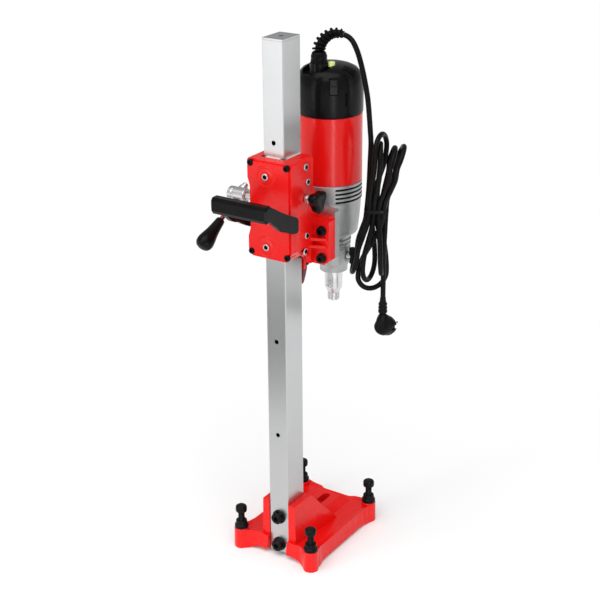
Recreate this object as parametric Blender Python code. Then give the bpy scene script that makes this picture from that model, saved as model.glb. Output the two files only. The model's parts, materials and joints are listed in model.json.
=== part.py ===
"""Core drill rig: a motor on a rack-driven carriage, which slides on a column that stands on a base.

Metres, +Z up. All places below are measured from the column's axis at floor level, with +X to the
right along the column's front face and +Y from the column towards the drill motor. The root empty
moves the finished rig so that the world origin is under the middle of its bounding box.
"""

import math

import bmesh
import bpy
from mathutils import Matrix, Vector

GAP = 0.0003                      # clearance between touching pieces

# Place of the column's axis in the world.
COLUMN_X = 0.02725
COLUMN_Y = -0.03825

# Column and rack.
COLUMN_HALF_X = 0.021
COLUMN_HALF_Y = 0.027
COLUMN_WALL = 0.003
COLUMN_FOOT = 0.005
COLUMN_TOP = 1.005
CAP_PLATE = 0.0035
FACE_HOLE_HEIGHTS = (0.258, 0.449, 0.824)
COLUMN_BOLT_HEIGHTS = {"column_bolt_lower": 0.022, "column_bolt_upper": 0.082}
RACK_MODULE = 0.003
RACK_PITCH_Y = 0.035
RACK_HALF_WIDTH = 0.008
RACK_LOW = 0.285
RACK_HIGH = 0.905

# Feed pinion and crank.
PINION_TEETH = 8
PINION_RADIUS = RACK_MODULE * PINION_TEETH / 2
SHAFT_Y = RACK_PITCH_Y + PINION_RADIUS
SHAFT_Z = 0.688
SHAFT_RADIUS = 0.0075
HUB_X = (-0.149, -0.112)
ARM_DIRECTION = Vector((0.0, -0.871, -0.491))
ARM_X = -0.130

# Base casting.
BOSS_PLACES = ((-0.080, -0.040), (0.080, -0.040), (-0.079, 0.176), (0.079, 0.176))
BOSS_HEIGHT = 0.041
RIM_HEIGHT = 0.034                # of the base's walls between the bosses
PLATEAU_HEIGHT = 0.0325           # of the base's flat top inside its rim
SCREW_RADIUS = 0.0065

# Carriage.
CARRIAGE_FRONT = -0.052
CARRIAGE_SEAM = -0.040
CARRIAGE_BACK = 0.020
CARRIAGE_LOW = 0.618
CARRIAGE_HIGH = 0.798
CHANNEL_HALF_X = 0.0256
CHANNEL_HALF_Y = 0.0316
PAD_THICKNESS = 0.004
COVER_SCREWS = ((-0.033, 0.791), (0.042, 0.791), (-0.033, 0.628), (0.042, 0.628))
FRONT_ADJUSTERS = (0.7695, 0.6405)
FRONT_ADJUSTER_X = -0.0015
SIDE_ADJUSTERS = ((-0.004, 0.783), (0.002, 0.755), (-0.002, 0.657), (-0.007, 0.629))
CLAMP_Y, CLAMP_Z = -0.004, 0.726
LEVER_PIVOT = Vector((0.014, 0.046, 0.585))

# Mounting face between the carriage and the motor.
PLATE_HALF_X = 0.080
PLATE_Y = (0.024, 0.045)
PLATE_Z = (0.597, 0.685)
FOOT_Y = (0.0453, 0.060)
FOOT_TOP = 0.694
BOLT_X = 0.066
BOLT_HEIGHTS = (0.661, 0.610)

# Motor and gearbox.
MOTOR_Y = 0.155
MOTOR_RADIUS = 0.060
SPINDLE_Y = 0.169
LAYSHAFT = (0.024, 0.1395)
FIRST_MODULE, FIRST_TEETH = 0.0014, (7, 33)
SECOND_MODULE, SECOND_TEETH = 0.00214, (7, 28)
SWITCH_ANGLE = math.radians(-51.4)
SWITCH_Z = 0.898
LEVEL_PLACE = (0.013, 0.140)
GLAND_PLACE = (-0.007, 0.130)

# Mains cord.
CORD_RADIUS = 0.0048
RELIEF_RADIUS = 0.0105
HANK_MIDDLE = Vector((0.108, 0.1377, 0.0))
HANK_TURN = math.radians(30.1)
HANK_SECTIONS = (                 # height, left side, right side and half depth of the tied loops
    (0.5135, -0.0290, 0.0238, 0.0230), (0.5250, -0.0400, 0.0270, 0.0300), (0.5400, -0.0465, 0.0300, 0.0345),
    (0.5600, -0.0455, 0.0310, 0.0335), (0.6000, -0.0330, 0.0300, 0.0240), (0.6400, -0.0225, 0.0260, 0.0145),
    (0.6630, -0.0190, 0.0230, 0.0105), (0.6830, -0.0190, 0.0230, 0.0105), (0.7050, -0.0175, 0.0265, 0.0135),
    (0.7400, -0.0160, 0.0370, 0.0240), (0.7650, -0.0150, 0.0460, 0.0320), (0.7880, -0.0150, 0.0520, 0.0345),
    (0.7960, -0.0150, 0.0300, 0.0330), (0.7990, -0.0150, 0.0285, 0.0320),
)
RELIEF_ROUTE = (
    (-0.007, 0.130, 0.9536), (-0.0066, 0.130, 0.9610), (-0.0015, 0.131, 0.9715), (0.0065, 0.1325, 0.9800),
    (0.017, 0.1345, 0.9865), (0.028, 0.1365, 0.9880), (0.039, 0.139, 0.9860),
)
CORD_ROUTE = (
    (0.0405, 0.1393, 0.98560), (0.0500, 0.1392, 0.9820), (0.0590, 0.1382, 0.9745), (0.0680, 0.1365, 0.9610),
    (0.0745, 0.1358, 0.9455), (0.0810, 0.1352, 0.9253), (0.0855, 0.1348, 0.9082), (0.0892, 0.1345, 0.8926),
    (0.0922, 0.1342, 0.8769), (0.0946, 0.1339, 0.8592), (0.0966, 0.1337, 0.8400), (0.0984, 0.1335, 0.8200),
    (0.1001, 0.1334, 0.7997),
)
PLUG_DISTANCE = 0.0165            # of the plug's cord axis from the hank's middle


def remove_everything():
    for thing in list(bpy.data.objects):
        bpy.data.objects.remove(thing, do_unlink=True)


# ---------------------------------------------------------------- shapes

def mesh_object(name, points, faces):
    mesh = bpy.data.meshes.new(name)
    mesh.from_pydata([tuple(p) for p in points], [], faces)
    work = bmesh.new()
    work.from_mesh(mesh)
    bmesh.ops.recalc_face_normals(work, faces=work.faces)
    work.to_mesh(mesh)
    work.free()
    thing = bpy.data.objects.new(name, mesh)
    bpy.context.scene.collection.objects.link(thing)
    return thing


def along(axis, a, b, height):
    """A point with section coordinates a, b at a height along the axis."""
    if axis == "X":
        return (height, a, b)
    if axis == "Y":
        return (a, height, b)
    return (a, b, height)


def loft(name, rings):
    """A closed solid through rings with the same number of points each."""
    count = len(rings[0])
    points = [p for ring in rings for p in ring]
    faces = [tuple(range(count)), tuple(range(len(points) - count, len(points)))]
    for ring in range(len(rings) - 1):
        first = ring * count
        for i in range(count):
            j = (i + 1) % count
            faces.append((first + i, first + j, first + count + j, first + count + i))
    return mesh_object(name, points, faces)


def prism(name, outline, low, high, axis="Z"):
    return loft(name, [[along(axis, a, b, h) for a, b in outline] for h in (low, high)])


def block(name, x, y, z):
    return prism(name, ((x[0], y[0]), (x[1], y[0]), (x[1], y[1]), (x[0], y[1])), z[0], z[1])


def circle(radius, count, centre=(0.0, 0.0), start=0.0):
    steps = (start + 2 * math.pi * i / count for i in range(count))
    return [(centre[0] + radius * math.cos(t), centre[1] + radius * math.sin(t)) for t in steps]


def cylinder(name, radius, centre, low, high, axis="Z", count=12):
    return prism(name, circle(radius, count, centre), low, high, axis)


def turned(name, profile, centre=(0.0, 0.0), axis="Z", count=24):
    """A solid of revolution; profile is (radius, height) pairs, of radius above zero."""
    rings = [[along(axis, a, b, h) for a, b in circle(r, count, centre)] for r, h in profile]
    return loft(name, rings)


def ring_turned(name, profile, centre=(0.0, 0.0), axis="Z", count=24):
    """A ring of revolution about a bore; the profile closes on itself."""
    points = []
    for r, h in profile:
        points += [along(axis, a, b, h) for a, b in circle(r, count, centre)]
    faces = []
    for k in range(len(profile)):
        first, second = k * count, ((k + 1) % len(profile)) * count
        for i in range(count):
            j = (i + 1) % count
            faces.append((first + i, first + j, second + j, second + i))
    return mesh_object(name, points, faces)


def tapered_rod(name, start, end, start_radius, end_radius, count=12):
    direction = (Vector(end) - Vector(start)).normalized()
    side = direction.cross(Vector((1, 0, 0)) if abs(direction.x) < 0.9 else Vector((0, 1, 0)))
    side.normalize()
    up = direction.cross(side)
    rings = []
    for place, radius in ((Vector(start), start_radius), (Vector(end), end_radius)):
        rings.append([place + side * a + up * b for a, b in circle(radius, count)])
    return loft(name, rings)


def hull(name, points):
    work = bmesh.new()
    for point in points:
        work.verts.new(point)
    result = bmesh.ops.convex_hull(work, input=work.verts)
    loose = {v for v in result["geom_interior"] + result["geom_unused"]
             if isinstance(v, bmesh.types.BMVert)}
    bmesh.ops.delete(work, geom=list(loose), context="VERTS")
    bmesh.ops.dissolve_limit(work, angle_limit=math.radians(1), verts=work.verts, edges=work.edges)
    mesh = bpy.data.meshes.new(name)
    work.to_mesh(mesh)
    work.free()
    thing = bpy.data.objects.new(name, mesh)
    bpy.context.scene.collection.objects.link(thing)
    return thing


def combine(thing, tool, operation):
    """Joins or cuts with a tool object, which is used up."""
    modifier = thing.modifiers.new("boolean", "BOOLEAN")
    modifier.operation = operation
    modifier.solver = "EXACT"
    modifier.object = tool
    graph = bpy.context.evaluated_depsgraph_get()
    mesh = bpy.data.meshes.new_from_object(thing.evaluated_get(graph))
    thing.modifiers.clear()
    old = thing.data
    thing.data = mesh
    bpy.data.meshes.remove(old)
    bpy.data.objects.remove(tool, do_unlink=True)


def join(thing, *tools):
    for tool in tools:
        combine(thing, tool, "UNION")


def cut(thing, *tools):
    for tool in tools:
        combine(thing, tool, "DIFFERENCE")


def bevel_face_edges(thing, axis, value, width, segments=1):
    """Bevels the edges that lie in the plane axis = value."""
    index = "XYZ".index(axis)
    work = bmesh.new()
    work.from_mesh(thing.data)
    edges = [e for e in work.edges if all(abs(v.co[index] - value) < 1e-6 for v in e.verts)]
    bmesh.ops.bevel(work, geom=edges, offset=width, segments=segments, affect="EDGES")
    work.to_mesh(thing.data)
    work.free()


def rounded_rectangle(half_x, half_y, radius, steps=2):
    points = []
    for sign_x, sign_y, start in ((1, 1, 0), (-1, 1, 90), (-1, -1, 180), (1, -1, 270)):
        for i in range(steps + 1):
            t = math.radians(start + 90 * i / steps)
            points.append((sign_x * (half_x - radius) + radius * math.cos(t),
                           sign_y * (half_y - radius) + radius * math.sin(t)))
    return points


def gear_outline(teeth, module, centre, phase):
    """Plain trapezoid teeth with backlash; a tooth points along the phase angle."""
    pitch_radius = module * teeth / 2
    pitch = 2 * math.pi / teeth
    root, tip = pitch_radius - 1.15 * module, pitch_radius + 0.85 * module
    corners = ((-0.31, root), (-0.13, tip), (0.13, tip), (0.31, root))
    points = []
    for tooth in range(teeth):
        middle = phase + tooth * pitch
        for share, radius in corners:
            t = middle + share * pitch
            points.append((centre[0] + radius * math.cos(t), centre[1] + radius * math.sin(t)))
    return points


def smooth_path(route, count):
    """Evenly numbered points of a Catmull-Rom curve through the route's points."""
    route = [Vector(p) for p in route]
    padded = [2 * route[0] - route[1]] + route + [2 * route[-1] - route[-2]]
    path = []
    for i in range(count):
        place = i * (len(route) - 1) / (count - 1)
        k = min(int(place), len(route) - 2)
        t = place - k
        a, b, c, d = padded[k:k + 4]
        path.append(0.5 * (2 * b + (c - a) * t + (2 * a - 5 * b + 4 * c - d) * t * t
                           + (3 * b - a - 3 * c + d) * t * t * t))
    return path


def tube(name, route, radius, count):
    curve = bpy.data.curves.new(name, "CURVE")
    curve.dimensions = "3D"
    curve.bevel_depth = radius
    curve.bevel_resolution = 2
    curve.use_fill_caps = True
    spline = curve.splines.new("POLY")
    spline.points.add(count - 1)
    for point, place in zip(spline.points, smooth_path(route, count)):
        point.co = (*place, 1.0)
    thing = bpy.data.objects.new(name, curve)
    bpy.context.scene.collection.objects.link(thing)
    return thing


# ---------------------------------------------------------------- materials and bodies

PALETTE = {
    "red_paint": ((0.70, 0.012, 0.010), 0.35, 0.0),
    "aluminium": ((0.62, 0.63, 0.64), 0.40, 1.0),
    "cast_aluminium": ((0.40, 0.41, 0.42), 0.50, 1.0),
    "steel": ((0.60, 0.60, 0.61), 0.25, 1.0),
    "black_screw": ((0.02, 0.02, 0.02), 0.45, 0.6),
    "black_plastic": ((0.015, 0.015, 0.016), 0.45, 0.0),
    "black_rubber": ((0.012, 0.012, 0.012), 0.65, 0.0),
    "nylon": ((0.80, 0.80, 0.77), 0.50, 0.0),
    "bronze": ((0.45, 0.28, 0.12), 0.40, 1.0),
    "maroon": ((0.18, 0.006, 0.012), 0.30, 0.0),
    "level_glass": ((0.55, 0.80, 0.10), 0.10, 0.0),
}


def material(slot):
    made = bpy.data.materials.get(slot)
    if made:
        return made
    colour, roughness, metallic = PALETTE[slot]
    made = bpy.data.materials.new(slot)
    made.use_nodes = True
    shader = made.node_tree.nodes["Principled BSDF"]
    shader.inputs["Base Color"].default_value = (*colour, 1.0)
    shader.inputs["Roughness"].default_value = roughness
    shader.inputs["Metallic"].default_value = metallic
    return made


class Body:
    """An empty on a moving body's joint axis, which its pieces are parented to."""

    def __init__(self, name, place, parent=None):
        self.place = Vector(place)
        self.empty = bpy.data.objects.new(name + "_axis", None)
        self.empty.empty_display_size = 0.02
        bpy.context.scene.collection.objects.link(self.empty)
        if parent:
            self.empty.parent = parent.empty
            self.empty.location = self.place - parent.place
        else:
            self.empty.location = Vector((COLUMN_X, COLUMN_Y, 0.0)) + self.place

    def add(self, thing, slot, origin=None):
        """Parents a piece, with its own origin at a place on the rig."""
        origin = self.place if origin is None else Vector(origin)
        thing.data.transform(Matrix.Translation(-origin))
        thing.parent = self.empty
        thing.location = origin - self.place
        thing.data.materials.clear()
        thing.data.materials.append(material(slot))
        if thing.type == "MESH":
            thing.data.shade_smooth()
            thing.data.set_sharp_from_angle(angle=math.radians(35))


# ---------------------------------------------------------------- base and column

def base_outline():
    """The base's right half from front to rear: foot x, foot y, rim x, rim y and rim z of each point."""
    points = [(0.030, -0.039, 0.030, -0.034, 0.036), (0.050, -0.039, 0.050, -0.0355, 0.038),
              (0.058, -0.0405, 0.058, -0.0390, 0.0390), (0.0645, -0.0445, 0.0650, -0.0438, 0.0400)]
    points += boss_arc(BOSS_PLACES[1], range(-115, 46, 20), 0.0404)
    points += [(0.0897, -0.022, 0.0875, -0.022, 0.0390), (0.0870, -0.008, 0.0840, -0.008, 0.0360),
               (0.0860, 0.010, 0.0830, 0.010, RIM_HEIGHT), (0.0860, 0.130, 0.0815, 0.130, RIM_HEIGHT),
               (0.0868, 0.148, 0.0830, 0.148, 0.0355), (0.0888, 0.161, 0.0865, 0.161, 0.0385)]
    points += boss_arc(BOSS_PLACES[3], range(-30, 91, 20), 0.0398)
    points += [(0.056, 0.1915, 0.055, 0.1890, 0.0350), (0.040, 0.1915, 0.040, 0.1885, RIM_HEIGHT),
               (0.030, 0.186, 0.030, 0.182, RIM_HEIGHT)]
    return points


def boss_arc(place, degrees, rim_z):
    """Base outline points round a boss: 14.5 mm from its axis at the foot and 14.2 mm at the rim."""
    points = []
    for angle in degrees:
        c, s = math.cos(math.radians(angle)), math.sin(math.radians(angle))
        points.append((place[0] + 0.0145 * c, place[1] + 0.0145 * s,
                       place[0] + 0.0142 * c, place[1] + 0.0142 * s, rim_z))
    return points


def base_casting(root):
    right = base_outline()
    left = [(-a, b, -c, d, e) for a, b, c, d, e in reversed(right)]
    around = right + left
    centre_y = 0.0755
    base = loft("base_casting", [
        [(a, b, 0.0) for a, b, c, d, e in around],
        [(a, b, 0.006) for a, b, c, d, e in around],
        [(c, d, e) for a, b, c, d, e in around],
        [(c * 0.88, centre_y + (d - centre_y) * 0.90, PLATEAU_HEIGHT) for a, b, c, d, e in around]])
    hollow = loft("hollow", [
        [(x * 0.076, y, -0.001) for x, y in ((-1, 0.052), (1, 0.052), (1, 0.174), (-1, 0.174))],
        [(x * 0.070, y, 0.025) for x, y in ((-1, 0.056), (1, 0.056), (1, 0.168), (-1, 0.168))]])
    side_arch = prism("side_arch", ((-0.023, -0.01), (-0.023, 0.0), (-0.014, 0.0022), (0.000, 0.0040),
                                    (0.138, 0.0040), (0.150, 0.0022), (0.159, 0.0), (0.159, -0.01)),
                      -0.12, 0.12, "X")
    front_arch = prism("front_arch", ((-0.062, -0.01), (-0.062, 0.0), (-0.054, 0.0050), (-0.040, 0.0095),
                                      (0.040, 0.0095), (0.054, 0.0050), (0.062, 0.0), (0.062, -0.01)),
                       -0.08, 0.22, "Y")
    cut(base, hollow, side_arch, front_arch)
    hump = loft("hump", [
        [(x, y, 0.028) for x, y in ((-0.044, 0.030), (0.044, 0.030), (0.044, 0.176), (-0.044, 0.176))],
        [(x, y, 0.046) for x, y in ((-0.024, 0.030), (0.024, 0.030), (0.024, 0.158), (-0.024, 0.158))]])
    join(base, hump)
    for side in (-1, 1):
        inner, outer = side * 0.015, side * 0.036
        ear = hull("ear", [
            (inner, -0.028, 0.012), (inner, -0.028, 0.113), (inner, 0.030, 0.113), (inner, 0.100, 0.012),
            (outer, -0.028, 0.012), (outer, -0.028, 0.113), (outer, 0.030, 0.113),
            (side * 0.038, -0.028, 0.040), (side * 0.050, 0.100, 0.034), (side * 0.050, 0.100, 0.012)])
        join(base, ear)
    for x, y in BOSS_PLACES:
        boss = turned("boss", ((0.0135, 0.0), (0.0145, 0.002), (0.0140, 0.040), (0.0130, BOSS_HEIGHT)),
                      (x, y), count=24)
        join(base, boss)
    slot_outline = []
    for middle, start in ((0.142, 0), (0.093, 180)):
        for i in range(7):
            t = math.radians(start + 30 * i)
            slot_outline.append((0.008 * math.cos(t), middle + 0.008 * math.sin(t)))
    cut(base, block("socket", (-0.0214, 0.0214), (-0.060, 0.0275), (-0.01, 0.12)))
    cut(base, prism("slot", slot_outline, -0.01, 0.06))
    for height in COLUMN_BOLT_HEIGHTS.values():
        cut(base, cylinder("bore", 0.0053, (0.0, height), 0.025, 0.0415, "Y", 12))
    for x, y in BOSS_PLACES:
        cut(base, cylinder("bore", SCREW_RADIUS + GAP, (x, y), -0.01, 0.05, count=12))
    root.add(base, "red_paint", (0.0, 0.075, 0.0))


def column(root):
    outline = rounded_rectangle(COLUMN_HALF_X, COLUMN_HALF_Y, 0.0015)
    inner = rounded_rectangle(COLUMN_HALF_X - COLUMN_WALL, COLUMN_HALF_Y - COLUMN_WALL, 0.0005, 1)
    shaft_top = COLUMN_TOP - CAP_PLATE - GAP
    tube_piece = prism("column_tube", outline, COLUMN_FOOT, shaft_top)
    cut(tube_piece, prism("bore", inner, 0.0, 1.1))
    for height in FACE_HOLE_HEIGHTS:
        cut(tube_piece, cylinder("hole", 0.0044, (0.0, height), -0.04, 0.0, "Y", 16))
    for height in COLUMN_BOLT_HEIGHTS.values():
        cut(tube_piece, cylinder("hole", 0.0053, (0.0, height), -0.04, 0.04, "Y", 12))
    root.add(tube_piece, "aluminium", (0.0, 0.0, COLUMN_FOOT))

    cap = prism("column_top_cap", outline, COLUMN_TOP - CAP_PLATE, COLUMN_TOP)
    skirt_x = COLUMN_HALF_X - COLUMN_WALL - GAP
    skirt_y = COLUMN_HALF_Y - COLUMN_WALL - GAP
    join(cap, block("skirt", (-skirt_x, skirt_x), (-skirt_y, skirt_y), (0.985, COLUMN_TOP - 0.001)))
    cut(cap, cylinder("hole", 0.0040, (0.0, 0.0), 0.98, 1.01, count=12))
    root.add(cap, "aluminium", (0.0, 0.0, COLUMN_TOP))

    face = -COLUMN_HALF_Y - GAP
    for name, height in COLUMN_BOLT_HEIGHTS.items():
        bolt = turned(name, ((0.010, face - 0.012), (0.0125, face - 0.010), (0.0125, face - 0.004),
                             (0.014, face - 0.003), (0.014, face)), (0.0, height), "Y", 18)
        join(bolt, cylinder("shank", 0.005, (0.0, height), face - 0.001, 0.040, "Y", 12))
        cut(bolt, prism("socket", circle(0.005, 6, (0.0, height)), face - 0.02, face - 0.006, "Y"))
        root.add(bolt, "black_screw", (0.0, face, height))


def gear_rack(root):
    pitch = math.pi * RACK_MODULE
    back = COLUMN_HALF_Y + GAP
    root_y, tip_y = RACK_PITCH_Y - 1.15 * RACK_MODULE, RACK_PITCH_Y + 0.85 * RACK_MODULE
    outline = [(back, RACK_LOW), (root_y, RACK_LOW)]
    first = math.ceil((RACK_LOW - SHAFT_Z) / pitch + 0.5)
    last = math.floor((RACK_HIGH - SHAFT_Z) / pitch - 1.5)
    for tooth in range(first, last + 1):
        middle = SHAFT_Z + (tooth + 0.5) * pitch
        for share, y in ((-0.31, root_y), (-0.13, tip_y), (0.13, tip_y), (0.31, root_y)):
            outline.append((y, middle + share * pitch))
    outline += [(root_y, RACK_HIGH), (back, RACK_HIGH)]
    rack = prism("gear_rack", outline, -RACK_HALF_WIDTH, RACK_HALF_WIDTH, "X")
    root.add(rack, "steel", (0.0, RACK_PITCH_Y, SHAFT_Z))


def levelling_feet(root):
    names = ("front_left", "front_right", "rear_left", "rear_right")
    nut_profile = ((0.0068, 0.0), (0.0135, 0.0), (0.0135, 0.007), (0.0105, 0.016), (0.0068, 0.016))
    for name, place in zip(names, BOSS_PLACES):
        nut = ring_turned("lock_nut_" + name, [(r, h + BOSS_HEIGHT + GAP) for r, h in nut_profile],
                          place, count=12)
        root.add(nut, "black_screw", (*place, BOSS_HEIGHT))
        body = Body("levelling_screw_" + name, (*place, BOSS_HEIGHT), root)
        screw = turned("levelling_screw_" + name,
                       ((0.0045, 0.002), (SCREW_RADIUS, 0.005), (SCREW_RADIUS, 0.075), (0.0105, 0.078),
                        (0.0112, 0.082), (0.0105, 0.087), (0.0075, 0.089)), place, count=12)
        body.add(screw, "black_screw")


# ---------------------------------------------------------------- carriage

def carriage_outline():
    """The carriage's front view, with its waist on the left and its cut-off lower corners."""
    return [(-0.039, CARRIAGE_HIGH), (-0.042, 0.794), (-0.042, 0.762), (-0.0375, 0.748),
            (-0.0375, 0.668), (-0.042, 0.654), (-0.042, 0.630), (-0.034, CARRIAGE_LOW),
            (0.038, CARRIAGE_LOW), (0.050, 0.636), (0.050, 0.794), (0.047, CARRIAGE_HIGH)]


def carriage_body(carriage):
    body = prism("carriage_body", carriage_outline(), CARRIAGE_SEAM, CARRIAGE_BACK, "Y")
    join(body, block("rear_wall", (-0.034, 0.034), (0.010, PLATE_Y[1]), (0.622, 0.780)))
    x, low, high = PLATE_HALF_X, PLATE_Z[0], PLATE_Z[1]
    plate = prism("plate", ((-x + 0.01, low), (x - 0.01, low), (x, low + 0.008), (x, high - 0.006),
                            (x - 0.006, high), (-x + 0.006, high), (-x, high - 0.006), (-x, low + 0.008)),
                  PLATE_Y[0], PLATE_Y[1], "Y")
    join(body, plate)
    housing = turned("pinion_housing", ((0.022, -0.034), (0.022, 0.034)), (SHAFT_Y, SHAFT_Z), "X", 24)
    join(body, housing)
    for side, wall in ((-1, 0.042), (1, 0.050)):
        web = hull("web", [(side * a, y, z) for a in (wall - 0.010, wall - 0.0004) for y, z in (
            (0.012, 0.748), (CARRIAGE_BACK - 0.001, 0.748), (0.044, 0.700), (0.044, 0.640), (0.012, 0.600),
            (0.044, 0.600))])
        join(body, web)
        for height in (0.632, 0.646):
            rib = hull("rib", [(side * a, y, height + h) for a, y in (
                (wall - 0.012, 0.006), (wall - 0.012, 0.026), (0.076, 0.022), (0.076, 0.026)) for h in
                (-0.0025, 0.0025)])
            join(body, rib)
    floor_web = hull("floor_web", [(a, y, z) for a in (-0.038, 0.046) for y, z in (
        (0.005, 0.6185), (0.0185, 0.619), (0.0435, 0.598), (0.0435, 0.619), (0.028, 0.598))])
    join(body, floor_web)
    channel = prism("channel", rounded_rectangle(CHANNEL_HALF_X, CHANNEL_HALF_Y, 0.001, 1), 0.56, 0.82)
    rack_way = block("rack_way", (-0.0095, 0.0095), (0.025, 0.0392), (0.56, 0.82))
    cavity = cylinder("cavity", 0.0165, (SHAFT_Y, SHAFT_Z), -0.0105, 0.0105, "X", 20)
    bore = cylinder("bore", 0.0113, (SHAFT_Y, SHAFT_Z), -0.05, 0.05, "X", 20)
    lug = block("lug", (0.006, 0.022), (0.030, 0.0390), (0.576, 0.600))
    join(body, lug)
    shaft_way = cylinder("shaft_way", SHAFT_RADIUS + 0.002, (SHAFT_Y, SHAFT_Z), -0.09, -0.0345, "X", 16)
    cut(body, channel, rack_way, cavity, bore, shaft_way)
    cut(body, cylinder("bore", 0.0043, (LEVER_PIVOT.x, LEVER_PIVOT.z), 0.02, 0.05, "Y", 12))
    cut(body, cylinder("bore", 0.0053, (CLAMP_Y, CLAMP_Z), 0.020, 0.060, "X", 12))
    for y, z in SIDE_ADJUSTERS:
        cut(body, cylinder("bore", 0.0043, (y, z), 0.020, 0.060, "X", 12))
    for z in FRONT_ADJUSTERS:
        cut(body, cylinder("bore", 0.0043, (FRONT_ADJUSTER_X, z), -0.050, -0.020, "Y", 12))
    for x, z in COVER_SCREWS:
        cut(body, cylinder("bore", 0.0028, (x, z), -0.050, -0.026, "Y", 10))
    for side in (-1, 1):
        for z in BOLT_HEIGHTS:
            cut(body, cylinder("bore", 0.0043, (side * BOLT_X, z), 0.01, 0.05, "Y", 12))
    carriage.add(body, "red_paint")


def front_cover(carriage):
    seam = CARRIAGE_SEAM - GAP
    cover = prism("front_cover", carriage_outline(), CARRIAGE_FRONT, seam, "Y")
    bevel_face_edges(cover, "Y", CARRIAGE_FRONT, 0.004, 2)
    for z in FRONT_ADJUSTERS:
        cut(cover, cylinder("bore", 0.0043, (FRONT_ADJUSTER_X, z), -0.060, -0.030, "Y", 12))
    for x, z in COVER_SCREWS:
        cut(cover, cylinder("bore", 0.0028, (x, z), -0.060, -0.030, "Y", 10))
        cut(cover, cylinder("recess", 0.0063, (x, z), -0.060, CARRIAGE_FRONT + 0.003, "Y", 14))
    carriage.add(cover, "red_paint", (0.0, CARRIAGE_FRONT, 0.708))


def screw_along(name, axis, centre, levels, radii, count=12, socket=0.0025):
    """A socket screw: its head from levels 0 to 1, its shank on to level 2."""
    head_end, head_root, tip = levels
    inward = 1 if tip > head_root else -1
    screw = turned(name, ((radii[0] * 0.85, head_end), (radii[0], head_end + inward * 0.001),
                          (radii[0], head_root), (radii[1], head_root + inward * 0.0001), (radii[1], tip)),
                   centre, axis, count)
    socket_end = head_end + inward * 0.0025
    low, high = sorted((head_end - inward * 0.002, socket_end))
    cut(screw, prism("socket", circle(socket, 6, centre), low, high, axis))
    return screw


def carriage_fasteners(carriage):
    for i, (x, z) in enumerate(COVER_SCREWS, 1):
        screw = screw_along(f"cover_screw_{i}", "Y", (x, z), (-0.0545, -0.0493, -0.028), (0.0060, 0.0025), 10)
        carriage.add(screw, "black_screw", (x, CARRIAGE_FRONT, z))
    pad_face = -COLUMN_HALF_Y - GAP - PAD_THICKNESS - GAP
    for name, z in zip(("upper", "lower"), FRONT_ADJUSTERS):
        stud = screw_along("front_adjuster_" + name, "Y", (FRONT_ADJUSTER_X, z),
                           (CARRIAGE_FRONT - 0.0035, CARRIAGE_FRONT - GAP, pad_face), (0.0065, 0.0040))
        carriage.add(stud, "steel", (FRONT_ADJUSTER_X, CARRIAGE_FRONT, z))
    pad_side = COLUMN_HALF_X + GAP + PAD_THICKNESS + GAP
    for i, (y, z) in enumerate(SIDE_ADJUSTERS, 1):
        stud = screw_along(f"side_adjuster_{i}", "X", (y, z), (0.0535, 0.0503, pad_side), (0.0060, 0.0040))
        carriage.add(stud, "steel", (0.050, y, z))
    for i, (side, z) in enumerate(((s, z) for s in (-1, 1) for z in BOLT_HEIGHTS), 1):
        bolt = screw_along(f"mounting_bolt_{i}", "Y", (side * BOLT_X, z),
                           (PLATE_Y[0] - 0.010, PLATE_Y[0] - GAP, 0.058), (0.0095, 0.0040), 12, 0.0035)
        carriage.add(bolt, "black_screw", (side * BOLT_X, PLATE_Y[0], z))


def glide_pads(carriage):
    near, far = COLUMN_HALF_X + GAP, COLUMN_HALF_X + GAP + PAD_THICKNESS
    tall = (CARRIAGE_LOW + 0.004, CARRIAGE_HIGH + 0.0008)
    pads = {
        "side_pad_right": block("side_pad_right", (near, far), (-0.020, 0.020), tall),
        "side_pad_left": block("side_pad_left", (-far, -near), (-0.020, 0.020), tall)}
    near, far = COLUMN_HALF_Y + GAP, COLUMN_HALF_Y + GAP + PAD_THICKNESS
    pads["front_pad"] = block("front_pad", (-0.015, 0.015), (-far, -near), tall)
    # The rear pad runs on both sides of the rack and folds round behind its teeth.
    half = [(0.0083, 0.0381), (0.0083, near), (0.0205, near), (0.0205, far), (0.0092, far), (0.0092, 0.0390)]
    outline = half + [(-x, y) for x, y in reversed(half)]
    pads["rear_pad"] = prism("rear_pad", outline, 0.742, 0.779)
    for name, pad in pads.items():
        carriage.add(pad, "nylon", (0.0, 0.0, 0.708))


def carry_handle(carriage):
    grip = prism("carry_handle", [(y, z) for y, z in (
        (-0.1400, 0.7245), (-0.1360, 0.7185), (-0.1240, 0.7185), (-0.1200, 0.7245), (-0.1200, 0.7420),
        (-0.1240, 0.7480), (-0.1360, 0.7480), (-0.1400, 0.7420))], -0.0560, 0.0591, "X")
    bevel_face_edges(grip, "X", -0.0560, 0.003)
    bevel_face_edges(grip, "X", 0.0591, 0.003)
    arm = ((-0.108, 0.7056), (-0.122, 0.7160), (-0.126, 0.7200), (-0.126, 0.7465), (-0.122, 0.7450),
           (-0.095, 0.7295), (-0.075, 0.7185))
    heel = ((-0.076, 0.6870), (-0.086, 0.6895), (-0.096, 0.6945))
    right = arm + ((-0.052, 0.7080), (-0.043, 0.7035), (-0.040, 0.6990), (-0.040, 0.6800), (-0.044, 0.6760),
                   (-0.055, 0.6770), (-0.066, 0.6810)) + heel
    left = arm + ((-0.052, 0.7060), (-0.026, 0.6950), (-0.016, 0.6900), (-0.016, 0.6710), (-0.028, 0.6655),
                  (-0.043, 0.6690), (-0.060, 0.6775)) + heel
    join(grip, prism("leg", right, 0.0503, 0.0588, "X"))
    join(grip, prism("leg", left, -0.0510, -0.0425, "X"))
    carriage.add(grip, "black_plastic", (0.0, -0.130, 0.733))


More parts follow.
